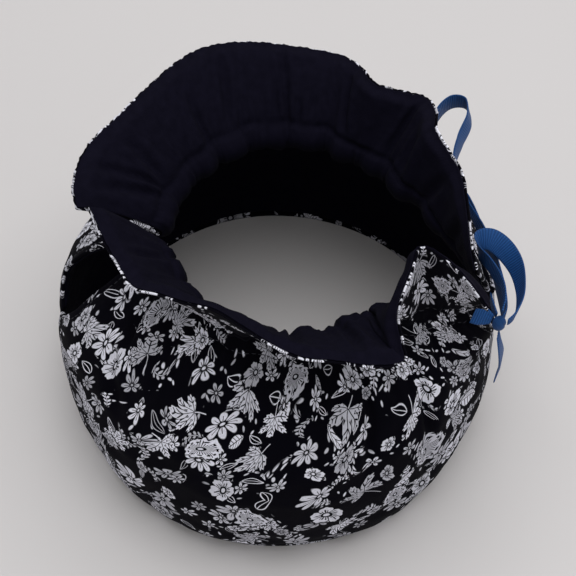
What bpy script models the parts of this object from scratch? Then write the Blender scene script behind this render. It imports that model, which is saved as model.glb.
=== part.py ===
"""Tea cosy: two padded cotton panels joined low at the sides, gathered to a neck by a ribbon
that is tied in a bow at its right side, and opening above it into a flared, lined collar.

Lengths are in millimetres until a mesh is made, which is in metres.  The table of sections below
is measured from the neck's axis: azimuth 0 points to the right (+X), 180 to the left, -90 to
the front.  +Z is up and the hem stands on Z = 0.
"""

import math

import bpy
import numpy as np

MM = 0.001

# Where the neck's axis stands, so that the middle of the whole lies over the origin.
AXIS_X = 4.83
AXIS_Y = 0.3

# Layers of the padded wall, from the printed face inwards.
OUTER_CLOTH = 1.8
LAYER_GAP = 0.5
LINING_CLOTH = 1.5
TURNED_EDGE = OUTER_CLOTH + LAYER_GAP + LINING_CLOTH + 0.2

# Length of the cloth along a section, from hem to neck and from neck to rim.
BODY_LENGTH = 150.0
COLLAR_LENGTH = 46.0

# Body of the cosy.
BELLY_RADIUS = 103.5
NECK_RADIUS = 56.0
BELLY_SHIFT = -7.0
SHIFT_FROM = 0.10
SEAM_LEFT = -178.0
SEAM_RIGHT = -6.0
SEAM_GAP = 0.2
SLIT_FOOT = 0.52
HEM_SHARE = 0.026
FOLDS_FROM = 0.30
OPENING_LEAN = 0.8

# How full the body is at a share of the neck's height: 0 is the neck's radius, 1 the belly's.
BODY_PROFILE = [
    # height, fullness
    (HEM_SHARE, 0.845),
    (0.060, 0.895),
    (0.120, 0.950),
    (0.220, 0.990),
    (0.350, 1.000),
    (0.500, 0.970),
    (0.640, 0.870),
    (0.780, 0.630),
    (0.880, 0.340),
    (0.945, 0.130),
    (1.000, 0.000),
]

# Each panel is a row of sections from its left edge to its right edge.
FRONT_SECTIONS = [
    # neck azimuth, neck radius, neck height, rim azimuth, rim radius, rim height
    (-176.5, 57.0, 114.0, -171.0, 83.0, 153.0),
    (-166.0, 56.5, 114.0, -162.0, 80.5, 150.0),
    (-156.0, 56.0, 114.0, -151.0, 79.0, 148.5),
    (-147.0, 56.0, 114.0, -142.0, 79.0, 147.0),
    (-138.0, 56.0, 114.0, -134.0, 74.5, 149.5),
    (-128.0, 56.0, 114.0, -125.0, 72.0, 152.0),
    (-117.0, 56.0, 114.0, -115.0, 70.0, 154.0),
    (-106.0, 56.0, 114.0, -105.0, 72.5, 152.5),
    (-96.0, 56.0, 114.0, -96.0, 77.0, 150.5),
    (-87.0, 56.0, 114.0, -87.0, 82.0, 148.5),
    (-78.0, 56.0, 114.0, -78.0, 84.5, 147.0),
    (-69.0, 56.0, 114.0, -69.5, 89.5, 145.5),
    (-61.0, 56.5, 114.0, -61.8, 93.0, 146.0),
    (-54.5, 57.5, 114.0, -59.5, 86.5, 148.5),
    (-49.5, 60.0, 114.0, -57.0, 77.5, 152.0),
    (-45.3, 63.3, 114.0, -52.0, 71.5, 154.5),
    (-41.0, 67.5, 114.0, -44.5, 67.0, 157.0),
    (-37.0, 71.5, 114.0, -36.6, 63.5, 159.5),
    (-33.3, 75.5, 113.7, -35.5, 72.5, 158.5),
    (-29.6, 80.0, 113.3, -37.5, 86.0, 156.5),
    (-26.5, 84.5, 113.0, -39.3, 98.0, 151.0),
]
BACK_SECTIONS = [
    # neck azimuth, neck radius, neck height, rim azimuth, rim radius, rim height
    (179.2, 57.0, 114.0, 184.0, 88.5, 141.0),
    (174.5, 57.0, 114.0, 179.0, 90.5, 145.0),
    (167.0, 57.0, 114.0, 171.0, 90.0, 146.5),
    (159.0, 57.0, 114.0, 162.5, 88.0, 147.0),
    (150.5, 57.0, 114.0, 153.0, 85.0, 146.0),
    (142.0, 57.0, 114.0, 143.5, 85.0, 144.5),
    (133.5, 57.0, 114.0, 134.0, 87.0, 143.0),
    (125.0, 57.0, 114.0, 125.0, 90.5, 142.0),
    (116.5, 57.0, 114.0, 116.0, 93.5, 141.0),
    (107.5, 57.0, 114.0, 107.0, 93.0, 140.0),
    (98.5, 57.0, 114.0, 98.0, 90.5, 139.5),
    (90.0, 57.0, 114.0, 89.5, 88.0, 139.0),
    (81.5, 57.0, 114.0, 81.0, 86.5, 139.0),
    (73.0, 57.0, 114.0, 73.0, 85.0, 139.5),
    (65.0, 57.0, 114.0, 65.5, 79.0, 142.5),
    (57.0, 57.0, 114.0, 57.5, 70.5, 146.5),
    (49.5, 57.0, 114.0, 49.5, 72.5, 147.0),
    (42.0, 57.0, 114.5, 41.0, 79.0, 145.5),
    (34.5, 57.5, 115.0, 33.0, 76.0, 148.5),
    (26.5, 58.5, 116.0, 24.5, 69.0, 152.0),
    (17.5, 61.0, 117.5, 14.5, 69.0, 152.5),
    (8.5, 65.5, 118.5, 4.5, 72.0, 151.5),
    (0.0, 71.0, 118.0, -6.0, 73.0, 152.0),
    (-8.0, 77.5, 116.5, -15.5, 75.5, 152.0),
    (-14.0, 84.0, 114.8, -23.5, 79.5, 151.0),
    (-19.0, 90.0, 113.0, -29.3, 85.4, 148.0),
]

# The collar rises this much above a straight line from neck to rim.
COLLAR_ARCH = 3.5

# Folds drawn in by the ribbon, with their place and half width in sections and their depth at the
# neck and runs in millimetres.
FRONT_FOLDS = [
    # place, half width, depth, run down the body, run up the collar
    (1.9, 0.65, 2.8, 40.0, 12.0),
    (3.8, 0.65, 2.8, 50.0, 16.0),
    (5.6, 0.60, 2.2, 30.0, 14.0),
    (7.4, 0.65, 2.6, 44.0, 14.0),
    (9.2, 0.60, 2.4, 36.0, 16.0),
    (11.7, 0.75, 4.0, 84.0, 16.0),
    (13.1, 0.55, 1.8, 36.0, 10.0),
    (14.5, 0.75, 3.6, 96.0, 12.0),
    (17.0, 0.70, 2.4, 80.0, 10.0),
    (18.6, 0.55, 1.6, 40.0, 10.0),
]
BACK_FOLDS = [
    # place, half width, depth, run down the body, run up the collar
    (1.6, 0.60, 2.2, 28.0, 16.0),
    (3.7, 0.65, 2.8, 40.0, 22.0),
    (5.9, 0.60, 2.2, 30.0, 18.0),
    (7.8, 0.65, 2.8, 56.0, 24.0),
    (10.0, 0.60, 2.2, 30.0, 20.0),
    (11.9, 0.65, 2.8, 44.0, 24.0),
    (14.2, 0.65, 3.0, 60.0, 22.0),
    (16.6, 0.60, 2.2, 36.0, 16.0),
    (18.8, 0.60, 2.4, 48.0, 14.0),
    (21.2, 0.60, 1.6, 26.0, 10.0),
]

# Places where the body is pushed in or, if negative, out: widths in degrees and shares of height.
DENTS = [
    # azimuth, height, half width, half height, depth
    (-146.0, 0.26, 17.0, 0.16, 4.2),
    (-118.0, 0.45, 12.0, 0.20, 1.2),
    (-62.0, 0.12, 16.0, 0.12, -1.6),
    (-40.0, 0.55, 10.0, 0.20, 1.6),
    (-12.0, 0.55, 16.0, 0.22, 2.4),
    (30.0, 0.30, 18.0, 0.20, 2.0),
    (75.0, 0.40, 14.0, 0.25, 2.6),
    (128.0, 0.25, 16.0, 0.20, 2.2),
    (172.0, 0.58, 22.0, 0.18, -3.0),
]

# How far each slit edge bows away from the straight line from its foot to the neck, in degrees,
# and how far it stands out at the left.
FRONT_SLIT = {"bow_left": 7.0, "bow_right": -1.0, "push_left": 2.0, "reach_from": 0.62}
BACK_SLIT = {"bow_left": -7.0, "bow_right": 19.0, "push_left": 4.0, "reach_from": 0.80}

# Rows of the mesh: shares of the body's height, then shares of the collar's length.
BODY_ROWS = (0.0, HEM_SHARE, 0.040, 0.065, 0.13, 0.22, 0.34, 0.45, 0.55, 0.64, 0.72, 0.79, 0.85, 0.905, 0.955)
NECK_ROWS = (1.0, 1.06)
COLLAR_ROWS = (1.17, 1.33, 1.52, 1.72, 1.86, 1.925, 1.955, 1.975, 2.0)
COLUMNS = 40
# Rows at the hem and at the rim where the outer is turned in to the wall's whole thickness, rows
# there that the lining leaves free, and how much narrower it is at each slit, in columns.
TURNED_ROWS = 2
FREE_ROWS = 3
LINING_INSET = 0.35

# Ribbon, from the mouths of the two casings to the knot, and its loops and free end.  Tilt turns
# the ribbon's width away from upright about its own direction, in degrees.
RIBBON_WIDTH = 9.6
PINCHED = 4.4
RIBBON_THICK = 1.0
RIBBON_STEPS = 3
KNOT_CENTRE = (87.5, -42.5, 111.0)
KNOT_HALF = (2.9, 2.7, 4.4)
RIBBONS = {
    # x, y, z, tilt, width
    "tie_front": [
        (77.0, -38.8, 113.6, -46.0, RIBBON_WIDTH),
        (79.6, -39.8, 113.1, -44.0, 9.0),
        (82.4, -40.6, 112.4, -40.0, 6.8),
        (84.6, -41.2, 111.8, -34.0, PINCHED),
    ],
    "tie_back": [
        (84.6, -30.8, 112.8, 8.0, RIBBON_WIDTH),
        (85.4, -35.0, 112.4, 6.0, 7.6),
        (86.7, -39.4, 111.6, 4.0, PINCHED),
    ],
    "bow_loop_side": [
        (91.0, -42.6, 111.6, 0.0, PINCHED),
        (94.0, -39.6, 111.8, 4.0, 7.0),
        (97.0, -33.0, 112.0, 10.0, RIBBON_WIDTH),
        (98.0, -25.0, 112.4, 16.0, RIBBON_WIDTH),
        (96.8, -16.4, 113.8, 28.0, RIBBON_WIDTH),
        (92.4, -9.4, 116.5, 44.0, RIBBON_WIDTH),
        (86.4, -5.8, 119.3, 48.0, RIBBON_WIDTH),
        (80.8, -6.8, 120.0, 30.0, RIBBON_WIDTH),
        (80.2, -12.6, 120.5, 8.0, RIBBON_WIDTH),
        (84.2, -20.0, 121.2, 0.0, RIBBON_WIDTH),
        (88.4, -29.0, 120.6, 0.0, 9.0),
        (89.4, -36.0, 118.6, 0.0, 6.8),
        (88.2, -40.6, 116.8, 0.0, PINCHED),
    ],
    "bow_loop_back": [
        (89.4, -39.8, 109.0, 0.0, PINCHED),
        (91.6, -34.0, 107.6, 0.0, 7.4),
        (91.6, -25.0, 107.0, 0.0, RIBBON_WIDTH),
        (90.4, -15.0, 107.0, 0.0, RIBBON_WIDTH),
        (88.6, -4.0, 107.0, 0.0, RIBBON_WIDTH),
        (85.0, 8.0, 107.5, -4.0, RIBBON_WIDTH),
        (79.0, 18.5, 111.0, -8.0, RIBBON_WIDTH),
        (74.0, 28.5, 117.0, -8.0, RIBBON_WIDTH),
        (73.5, 36.5, 120.5, -10.0, RIBBON_WIDTH),
        (76.0, 44.0, 125.0, -14.0, RIBBON_WIDTH),
        (80.0, 52.5, 129.5, -16.0, RIBBON_WIDTH),
        (79.0, 60.5, 131.0, -12.0, RIBBON_WIDTH),
        (72.0, 61.5, 130.5, 0.0, RIBBON_WIDTH),
        (65.5, 54.5, 128.0, 6.0, RIBBON_WIDTH),
        (64.5, 45.5, 119.5, 8.0, RIBBON_WIDTH),
        (71.0, 37.0, 107.6, 6.0, RIBBON_WIDTH),
        (80.5, 28.0, 101.4, 0.0, RIBBON_WIDTH),
        (87.0, 11.0, 97.2, 0.0, RIBBON_WIDTH),
        (90.6, -8.0, 96.2, 0.0, RIBBON_WIDTH),
        (92.4, -23.0, 96.2, 0.0, RIBBON_WIDTH),
        (92.0, -32.0, 97.8, 0.0, 7.4),
        (90.0, -37.4, 101.6, 0.0, PINCHED),
    ],
    "bow_tail": [
        (87.6, -44.6, 106.2, 0.0, PINCHED),
        (89.2, -46.0, 98.6, 0.0, 7.4),
        (91.2, -45.0, 88.0, 4.0, RIBBON_WIDTH),
        (92.0, -43.6, 80.0, 8.0, RIBBON_WIDTH),
        (91.6, -45.4, 71.0, 12.0, RIBBON_WIDTH),
    ],
}
# Plain finishes: linear colour and roughness.
PRINTED_COTTON = ((0.10, 0.10, 0.13), 0.85)
NAVY_COTTON = ((0.008, 0.008, 0.016), 0.90)
GROSGRAIN = ((0.012, 0.065, 0.25), 0.60)

# What a ribbon's width points along where its tilt is nought.
UPRIGHT = (0.0, 0.0, 1.0)
WIDTH_ALONG = {"bow_tail": (0.2, 0.98, 0.0)}


def spline(rows, positions):
    """Smooth curve through the rows: cubic pieces whose slope at a row is that of its neighbours."""
    table = np.asarray(rows, dtype=float)
    padded = np.vstack([2 * table[0] - table[1], table, 2 * table[-1] - table[-2]])
    start = np.clip(np.floor(positions).astype(int), 0, len(table) - 2)
    part = (positions - start)[..., None]
    before, here, there, after = (padded[start + step] for step in range(4))
    slope_here = (there - before) / 2
    slope_there = (after - here) / 2
    rise = there - here
    return (here + part * slope_here + part ** 2 * (3 * rise - 2 * slope_here - slope_there)
            + part ** 3 * (slope_here + slope_there - 2 * rise))


def smooth_step(value, low, high):
    """Rise from 0 at low to 1 at high with level ends."""
    share = np.clip((value - low) / (high - low), 0.0, 1.0)
    return share * share * (3.0 - 2.0 * share)


def polar(azimuth, radius, height):
    """Points at an azimuth in degrees, a radius and a height, stacked on the last axis."""
    angle = np.radians(azimuth)
    return np.stack([radius * np.cos(angle), radius * np.sin(angle), height + 0.0 * angle], axis=-1)


class Panel:
    """One half of the cosy: a cloth whose width is even from hem to rim."""

    def __init__(self, sections, folds, slit, hem_from, hem_to):
        self.sections = np.array(sections)
        self.folds = folds
        self.slit = slit
        self.hem = (hem_from, hem_to)
        self.runs_clockwise = hem_to < hem_from
        self.last = len(sections) - 1
        self.cloth_share = self._cloth_share()

    def _cloth_share(self):
        """Share of the cloth's width at each section, from the length of the rim."""
        rim = polar(*self.sections.T[3:])
        steps = np.linalg.norm(np.diff(rim, axis=0), axis=1)
        length = np.concatenate([[0.0], np.cumsum(steps)])
        return length / length[-1]

    def fold_depth(self, place, along):
        """How far the cloth is drawn in by its folds; along is in millimetres above the neck."""
        total = np.zeros(np.broadcast(place, along).shape)
        for centre, half_width, depth, run_down, run_up in self.folds:
            across = np.exp(-((place - centre) / half_width) ** 2)
            run = np.where(along < 0.0, run_down, run_up)
            total = total + depth * across * np.exp(-(along / run) ** 2)
        above_hem = 1.0 + along / BODY_LENGTH
        return total * smooth_step(above_hem, HEM_SHARE, FOLDS_FROM)

    def body(self, place, height, section):
        """Body of the cosy at a share of the neck's height."""
        neck_azimuth, neck_radius, neck_height = np.moveaxis(section, -1, 0)[:3]
        level = np.maximum(height, HEM_SHARE)
        fullness = np.interp(level, *BODY_CURVE)
        share = np.interp(place, np.arange(self.last + 1), self.cloth_share)
        hem_azimuth = self.hem[0] + (self.hem[1] - self.hem[0]) * share
        turn = smooth_step(height, SLIT_FOOT, 1.0)
        above = np.clip((height - SLIT_FOOT) / (1.0 - SLIT_FOOT), 0.0, 1.0)
        opening = np.sin(math.pi * above ** OPENING_LEAN)
        near_left = (1.0 - share) ** 3
        near_right = share ** 3
        azimuth = hem_azimuth + (neck_azimuth - hem_azimuth) * turn
        azimuth = azimuth + opening * self.slit["bow_left"] * near_left
        azimuth = azimuth + opening * self.slit["bow_right"] * near_right
        radius = NECK_RADIUS + (BELLY_RADIUS - NECK_RADIUS) * fullness
        radius = radius + (neck_radius - NECK_RADIUS) * smooth_step(height, self.slit["reach_from"], 1.0)
        radius = radius + opening * self.slit["push_left"] * near_left ** 2
        for middle, centre, half_width, half_height, depth in DENTS:
            across = ((azimuth - middle + 180.0) % 360.0 - 180.0) / half_width
            upward = (level - centre) / half_height
            radius = radius - depth * np.exp(-across ** 2 - upward ** 2)
        points = polar(azimuth, radius, height * neck_height)
        points[..., 0] += BELLY_SHIFT * (1.0 - smooth_step(height, SHIFT_FROM, 1.0))
        return points

    def collar(self, rise, section):
        """Collar at a share of the way from neck to rim, arched above the straight line."""
        columns = np.moveaxis(section, -1, 0)
        neck = polar(*columns[:3])
        rim = polar(*columns[3:])
        chord = rim - neck
        lean = np.hypot(chord[..., 0], chord[..., 1]) / np.linalg.norm(chord, axis=-1)
        points = neck + chord * rise[..., None]
        points[..., 2] += COLLAR_ARCH * lean * 4.0 * rise * (1.0 - rise)
        return points

    def base(self, place, level):
        """Outer face without its folds: level 0 to 1 is the body, 1 to 2 the collar."""
        section = spline(self.sections, place)
        lower = self.body(place, np.minimum(level, 1.0), section)
        upper = self.collar(np.clip(level - 1.0, 0.0, 1.0), section)
        return np.where((level <= 1.0)[..., None], lower, upper)

    def face(self, place, level):
        """Outer face with its folds drawn in towards the neck's axis."""
        points = self.base(place, level)
        along = (level - 1.0) * np.where(level < 1.0, BODY_LENGTH, COLLAR_LENGTH)
        depth = self.fold_depth(place, along)
        flat = np.hypot(points[..., 0], points[..., 1])
        points[..., 0] -= depth * points[..., 0] / flat
        points[..., 1] -= depth * points[..., 1] / flat
        return points


BODY_CURVE = tuple(np.array(BODY_PROFILE).T)


def clean_scene():
    """Remove whatever the scene holds."""
    for item in list(bpy.data.objects):
        bpy.data.objects.remove(item, do_unlink=True)


def make_material(name, colour, roughness):
    """Plain Principled finish."""
    material = bpy.data.materials.new(name)
    material.use_nodes = True
    shader = material.node_tree.nodes["Principled BSDF"]
    shader.inputs["Base Color"].default_value = (*colour, 1.0)
    shader.inputs["Roughness"].default_value = roughness
    shader.inputs["Metallic"].default_value = 0.0
    return material


def sheet_object(name, grid, thickness, material, collection, thick_rows=()):
    """Open sheet over a grid of points, given its thickness inwards by Solidify."""
    rows, columns = grid.shape[:2]
    points = (grid.reshape(-1, 3) + (AXIS_X, AXIS_Y, 0.0)) * MM
    number = np.arange(rows * columns).reshape(rows, columns)
    faces = np.stack([number[:-1, :-1], number[:-1, 1:], number[1:, 1:], number[1:, :-1]], axis=-1)
    mesh = bpy.data.meshes.new(name)
    mesh.from_pydata(points.tolist(), [], faces.reshape(-1, 4).tolist())
    mesh.materials.append(material)
    mesh.shade_smooth()
    item = bpy.data.objects.new(name, mesh)
    collection.objects.link(item)
    wall = item.modifiers.new("Thickness", "SOLIDIFY")
    wall.offset = -1.0
    wall.thickness = thickness * MM
    wall.use_even_offset = False
    if thick_rows:
        group = item.vertex_groups.new(name="turned_edge")
        thin = OUTER_CLOTH / thickness
        for row in range(rows):
            weight = 1.0 if row in thick_rows else thin
            group.add(number[row].tolist(), weight, "REPLACE")
        wall.vertex_group = group.name
    return item


def panel_grid(panel, levels):
    """Points of a panel's outer face on even columns, ordered so that its normals point out."""
    place, level = np.meshgrid(np.linspace(0.0, panel.last, COLUMNS + 1), np.asarray(levels))
    points = panel.face(place, level)
    return points[:, ::-1] if panel.runs_clockwise else points


def grid_normals(points):
    """Unit normal at each point, the mean of those of the faces around it."""
    across = points[:, 1:] - points[:, :-1]
    upward = points[1:] - points[:-1]
    face = np.cross(across[:-1] + across[1:], upward[:, :-1] + upward[:, 1:])
    face /= np.linalg.norm(face, axis=-1, keepdims=True)
    total = np.zeros(points.shape)
    for rows in (slice(None, -1), slice(1, None)):
        for columns in (slice(None, -1), slice(1, None)):
            total[rows, columns] += face
    return total / np.linalg.norm(total, axis=-1, keepdims=True)


def make_panel(name, panel, print_material, lining_material, collection):
    """Printed outer, whose hem and rim turn in over the lining's edges, and the lining."""
    levels = BODY_ROWS + NECK_ROWS + COLLAR_ROWS
    outer = panel_grid(panel, levels)
    turned = [row for row in range(len(levels)) if min(row, len(levels) - 1 - row) < TURNED_ROWS]
    sheet_object("outer_" + name, outer, TURNED_EDGE, print_material, collection, turned)
    inner = outer - (OUTER_CLOTH + LAYER_GAP) * grid_normals(outer)
    inner[:, 0] += LINING_INSET * (inner[:, 1] - inner[:, 0])
    inner[:, -1] += LINING_INSET * (inner[:, -2] - inner[:, -1])
    inner = inner[FREE_ROWS:-FREE_ROWS]
    sheet_object("lining_" + name, inner, LINING_CLOTH, lining_material, collection)


def make_ribbon(name, rows, material, collection):
    """Strip of ribbon along the smooth curve through its rows."""
    places = np.linspace(0.0, len(rows) - 1.0, RIBBON_STEPS * (len(rows) - 1) + 1)
    middle = spline(rows, places)
    along = np.gradient(middle[:, :3], axis=0)
    along /= np.linalg.norm(along, axis=1, keepdims=True)
    reference = np.array(WIDTH_ALONG.get(name, UPRIGHT))
    upright = reference - along * (along @ reference)[:, None]
    upright /= np.linalg.norm(upright, axis=1, keepdims=True)
    tilt = np.radians(middle[:, 3:4])
    half = middle[:, 4:5] / 2 * (np.cos(tilt) * upright + np.sin(tilt) * np.cross(along, upright))
    grid = np.stack([middle[:, :3] - half, middle[:, :3] + half], axis=1)
    strip = sheet_object(name, grid, RIBBON_THICK, material, collection)
    strip.modifiers["Thickness"].offset = 0.0


def make_knot(material, collection):
    """Flattened ball of the bow's knot."""
    bpy.ops.mesh.primitive_uv_sphere_add(segments=16, ring_count=10, radius=1.0)
    knot = bpy.context.active_object
    knot.name = "bow_knot"
    for item in list(knot.users_collection):
        item.objects.unlink(knot)
    collection.objects.link(knot)
    knot.scale = [size * MM for size in KNOT_HALF]
    knot.location = [(place + shift) * MM for place, shift in zip(KNOT_CENTRE, (AXIS_X, AXIS_Y, 0.0))]
    knot.data.materials.append(material)
    knot.data.shade_smooth()


def main():
    """Build the tea cosy."""
    clean_scene()
    collection = bpy.data.collections.new("tea_cosy")
    bpy.context.scene.collection.children.link(collection)
    front = Panel(FRONT_SECTIONS, FRONT_FOLDS, FRONT_SLIT, SEAM_LEFT + SEAM_GAP, SEAM_RIGHT - SEAM_GAP)
    back = Panel(BACK_SECTIONS, BACK_FOLDS, BACK_SLIT, SEAM_LEFT + 360.0 - SEAM_GAP, SEAM_RIGHT + SEAM_GAP)
    for name, panel in (("front", front), ("back", back)):
        print_material = make_material("printed_cotton_" + name, *PRINTED_COTTON)
        lining_material = make_material("navy_cotton_" + name, *NAVY_COTTON)
        make_panel(name, panel, print_material, lining_material, collection)
    for name, rows in RIBBONS.items():
        make_ribbon(name, rows, make_material("grosgrain_" + name, *GROSGRAIN), collection)
    make_knot(make_material("grosgrain_bow_knot", *GROSGRAIN), collection)


main()
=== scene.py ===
"""Looks of the tea cosy: printed outer, navy lining, grosgrain bow, stitching and a plain stage.

Lengths in the tables are millimetres, and a mesh is made in metres.  The table of sections is
measured from the neck's axis: azimuth 0 points to the right (+X), 180 to the left, -90 to the
front.  The hem stands on Z = 0.
"""

import math

import bpy
import numpy as np
from mathutils import Matrix, Vector


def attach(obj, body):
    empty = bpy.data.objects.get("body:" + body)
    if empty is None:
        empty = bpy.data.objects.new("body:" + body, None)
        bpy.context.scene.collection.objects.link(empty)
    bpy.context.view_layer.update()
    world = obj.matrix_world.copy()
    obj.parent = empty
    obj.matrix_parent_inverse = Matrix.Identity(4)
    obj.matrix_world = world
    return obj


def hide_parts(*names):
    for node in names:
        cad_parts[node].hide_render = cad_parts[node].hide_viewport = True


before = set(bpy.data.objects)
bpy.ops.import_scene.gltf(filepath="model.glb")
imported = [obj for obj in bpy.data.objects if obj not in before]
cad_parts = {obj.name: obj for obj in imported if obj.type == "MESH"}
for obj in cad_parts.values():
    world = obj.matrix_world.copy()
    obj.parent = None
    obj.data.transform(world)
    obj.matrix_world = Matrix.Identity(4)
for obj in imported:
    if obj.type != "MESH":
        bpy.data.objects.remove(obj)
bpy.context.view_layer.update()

bl_info = {
    "name": "Tea Cosy",
    "version": (1, 0, 0),
    "blender": (4, 5, 0),
    "location": "3D View > Sidebar > Tea Cosy",
    "description": "Gathered tea cosy with a floral print, a navy lining and a ribbon bow",
    "category": "Add Mesh",
}

MM = 0.001
BODY = "root"

# Where the neck's axis stands.
AXIS = np.array([4.83, 0.3, 0.0])

# Body and collar, as the cloth is cut and drawn in.
BELLY_RADIUS = 103.5
NECK_RADIUS = 56.0
BELLY_SHIFT = -7.0
SHIFT_FROM = 0.10
SEAM_LEFT = -178.0
SEAM_RIGHT = -6.0
SEAM_GAP = 0.2
SLIT_FOOT = 0.52
HEM_SHARE = 0.026
FOLDS_FROM = 0.30
OPENING_LEAN = 0.8
COLLAR_ARCH = 3.5
BODY_LENGTH = 150.0
COLLAR_LENGTH = 46.0
CLOTH_WIDTH = 312.0

# How full the body is at a share of the neck's height: 0 is the neck's radius, 1 the belly's.
BODY_PROFILE = [
    # height, fullness
    (HEM_SHARE, 0.845),
    (0.060, 0.895),
    (0.120, 0.950),
    (0.220, 0.990),
    (0.350, 1.000),
    (0.500, 0.970),
    (0.640, 0.870),
    (0.780, 0.630),
    (0.880, 0.340),
    (0.945, 0.130),
    (1.000, 0.000),
]

# Each panel is a row of sections from its left edge to its right edge.
FRONT_SECTIONS = [
    # neck azimuth, neck radius, neck height, rim azimuth, rim radius, rim height
    (-176.5, 57.0, 114.0, -171.0, 83.0, 153.0),
    (-166.0, 56.5, 114.0, -162.0, 80.5, 150.0),
    (-156.0, 56.0, 114.0, -151.0, 79.0, 148.5),
    (-147.0, 56.0, 114.0, -142.0, 79.0, 147.0),
    (-138.0, 56.0, 114.0, -134.0, 74.5, 149.5),
    (-128.0, 56.0, 114.0, -125.0, 72.0, 152.0),
    (-117.0, 56.0, 114.0, -115.0, 70.0, 154.0),
    (-106.0, 56.0, 114.0, -105.0, 72.5, 152.5),
    (-96.0, 56.0, 114.0, -96.0, 77.0, 150.5),
    (-87.0, 56.0, 114.0, -87.0, 82.0, 148.5),
    (-78.0, 56.0, 114.0, -78.0, 84.5, 147.0),
    (-69.0, 56.0, 114.0, -69.5, 89.5, 145.5),
    (-61.0, 56.5, 114.0, -61.8, 93.0, 146.0),
    (-54.5, 57.5, 114.0, -59.5, 86.5, 148.5),
    (-49.5, 60.0, 114.0, -57.0, 77.5, 152.0),
    (-45.3, 63.3, 114.0, -52.0, 71.5, 154.5),
    (-41.0, 67.5, 114.0, -44.5, 67.0, 157.0),
    (-37.0, 71.5, 114.0, -36.6, 63.5, 159.5),
    (-33.3, 75.5, 113.7, -35.5, 72.5, 158.5),
    (-29.6, 80.0, 113.3, -37.5, 86.0, 156.5),
    (-26.5, 84.5, 113.0, -39.3, 98.0, 151.0),
]
BACK_SECTIONS = [
    # neck azimuth, neck radius, neck height, rim azimuth, rim radius, rim height
    (179.2, 57.0, 114.0, 184.0, 88.5, 141.0),
    (174.5, 57.0, 114.0, 179.0, 90.5, 145.0),
    (167.0, 57.0, 114.0, 171.0, 90.0, 146.5),
    (159.0, 57.0, 114.0, 162.5, 88.0, 147.0),
    (150.5, 57.0, 114.0, 153.0, 85.0, 146.0),
    (142.0, 57.0, 114.0, 143.5, 85.0, 144.5),
    (133.5, 57.0, 114.0, 134.0, 87.0, 143.0),
    (125.0, 57.0, 114.0, 125.0, 90.5, 142.0),
    (116.5, 57.0, 114.0, 116.0, 93.5, 141.0),
    (107.5, 57.0, 114.0, 107.0, 93.0, 140.0),
    (98.5, 57.0, 114.0, 98.0, 90.5, 139.5),
    (90.0, 57.0, 114.0, 89.5, 88.0, 139.0),
    (81.5, 57.0, 114.0, 81.0, 86.5, 139.0),
    (73.0, 57.0, 114.0, 73.0, 85.0, 139.5),
    (65.0, 57.0, 114.0, 65.5, 79.0, 142.5),
    (57.0, 57.0, 114.0, 57.5, 70.5, 146.5),
    (49.5, 57.0, 114.0, 49.5, 72.5, 147.0),
    (42.0, 57.0, 114.5, 41.0, 79.0, 145.5),
    (34.5, 57.5, 115.0, 33.0, 76.0, 148.5),
    (26.5, 58.5, 116.0, 24.5, 69.0, 152.0),
    (17.5, 61.0, 117.5, 14.5, 69.0, 152.5),
    (8.5, 65.5, 118.5, 4.5, 72.0, 151.5),
    (0.0, 71.0, 118.0, -6.0, 73.0, 152.0),
    (-8.0, 77.5, 116.5, -15.5, 75.5, 152.0),
    (-14.0, 84.0, 114.8, -23.5, 79.5, 151.0),
    (-19.0, 90.0, 113.0, -29.3, 85.4, 148.0),
]

# Folds drawn in by the ribbon, with their place and half width in sections and their depth at the
# neck and runs in millimetres.
FRONT_FOLDS = [
    # place, half width, depth, run down the body, run up the collar
    (1.9, 0.65, 2.8, 40.0, 12.0),
    (3.8, 0.65, 2.8, 50.0, 16.0),
    (5.6, 0.60, 2.2, 30.0, 14.0),
    (7.4, 0.65, 2.6, 44.0, 14.0),
    (9.2, 0.60, 2.4, 36.0, 16.0),
    (11.7, 0.75, 4.0, 84.0, 16.0),
    (13.1, 0.55, 1.8, 36.0, 10.0),
    (14.5, 0.75, 3.6, 96.0, 12.0),
    (17.0, 0.70, 2.4, 80.0, 10.0),
    (18.6, 0.55, 1.6, 40.0, 10.0),
]
BACK_FOLDS = [
    # place, half width, depth, run down the body, run up the collar
    (1.6, 0.60, 2.2, 28.0, 16.0),
    (3.7, 0.65, 2.8, 40.0, 22.0),
    (5.9, 0.60, 2.2, 30.0, 18.0),
    (7.8, 0.65, 2.8, 56.0, 24.0),
    (10.0, 0.60, 2.2, 30.0, 20.0),
    (11.9, 0.65, 2.8, 44.0, 24.0),
    (14.2, 0.65, 3.0, 60.0, 22.0),
    (16.6, 0.60, 2.2, 36.0, 16.0),
    (18.8, 0.60, 2.4, 48.0, 14.0),
    (21.2, 0.60, 1.6, 26.0, 10.0),
]

# Places where the body is pushed in or, if negative, out: widths in degrees and shares of height.
DENTS = [
    # azimuth, height, half width, half height, depth
    (-146.0, 0.26, 17.0, 0.16, 4.2),
    (-118.0, 0.45, 12.0, 0.20, 1.2),
    (-62.0, 0.12, 16.0, 0.12, -1.6),
    (-40.0, 0.55, 10.0, 0.20, 1.6),
    (-12.0, 0.55, 16.0, 0.22, 2.4),
    (30.0, 0.30, 18.0, 0.20, 2.0),
    (75.0, 0.40, 14.0, 0.25, 2.6),
    (128.0, 0.25, 16.0, 0.20, 2.2),
    (172.0, 0.58, 22.0, 0.18, -3.0),
]

# How far each slit edge bows away from the straight line from its foot to the neck, in degrees,
# and how far it stands out at the left.
FRONT_SLIT = {"bow_left": 7.0, "bow_right": -1.0, "push_left": 2.0, "reach_from": 0.62}
BACK_SLIT = {"bow_left": -7.0, "bow_right": 19.0, "push_left": 4.0, "reach_from": 0.80}

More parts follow.
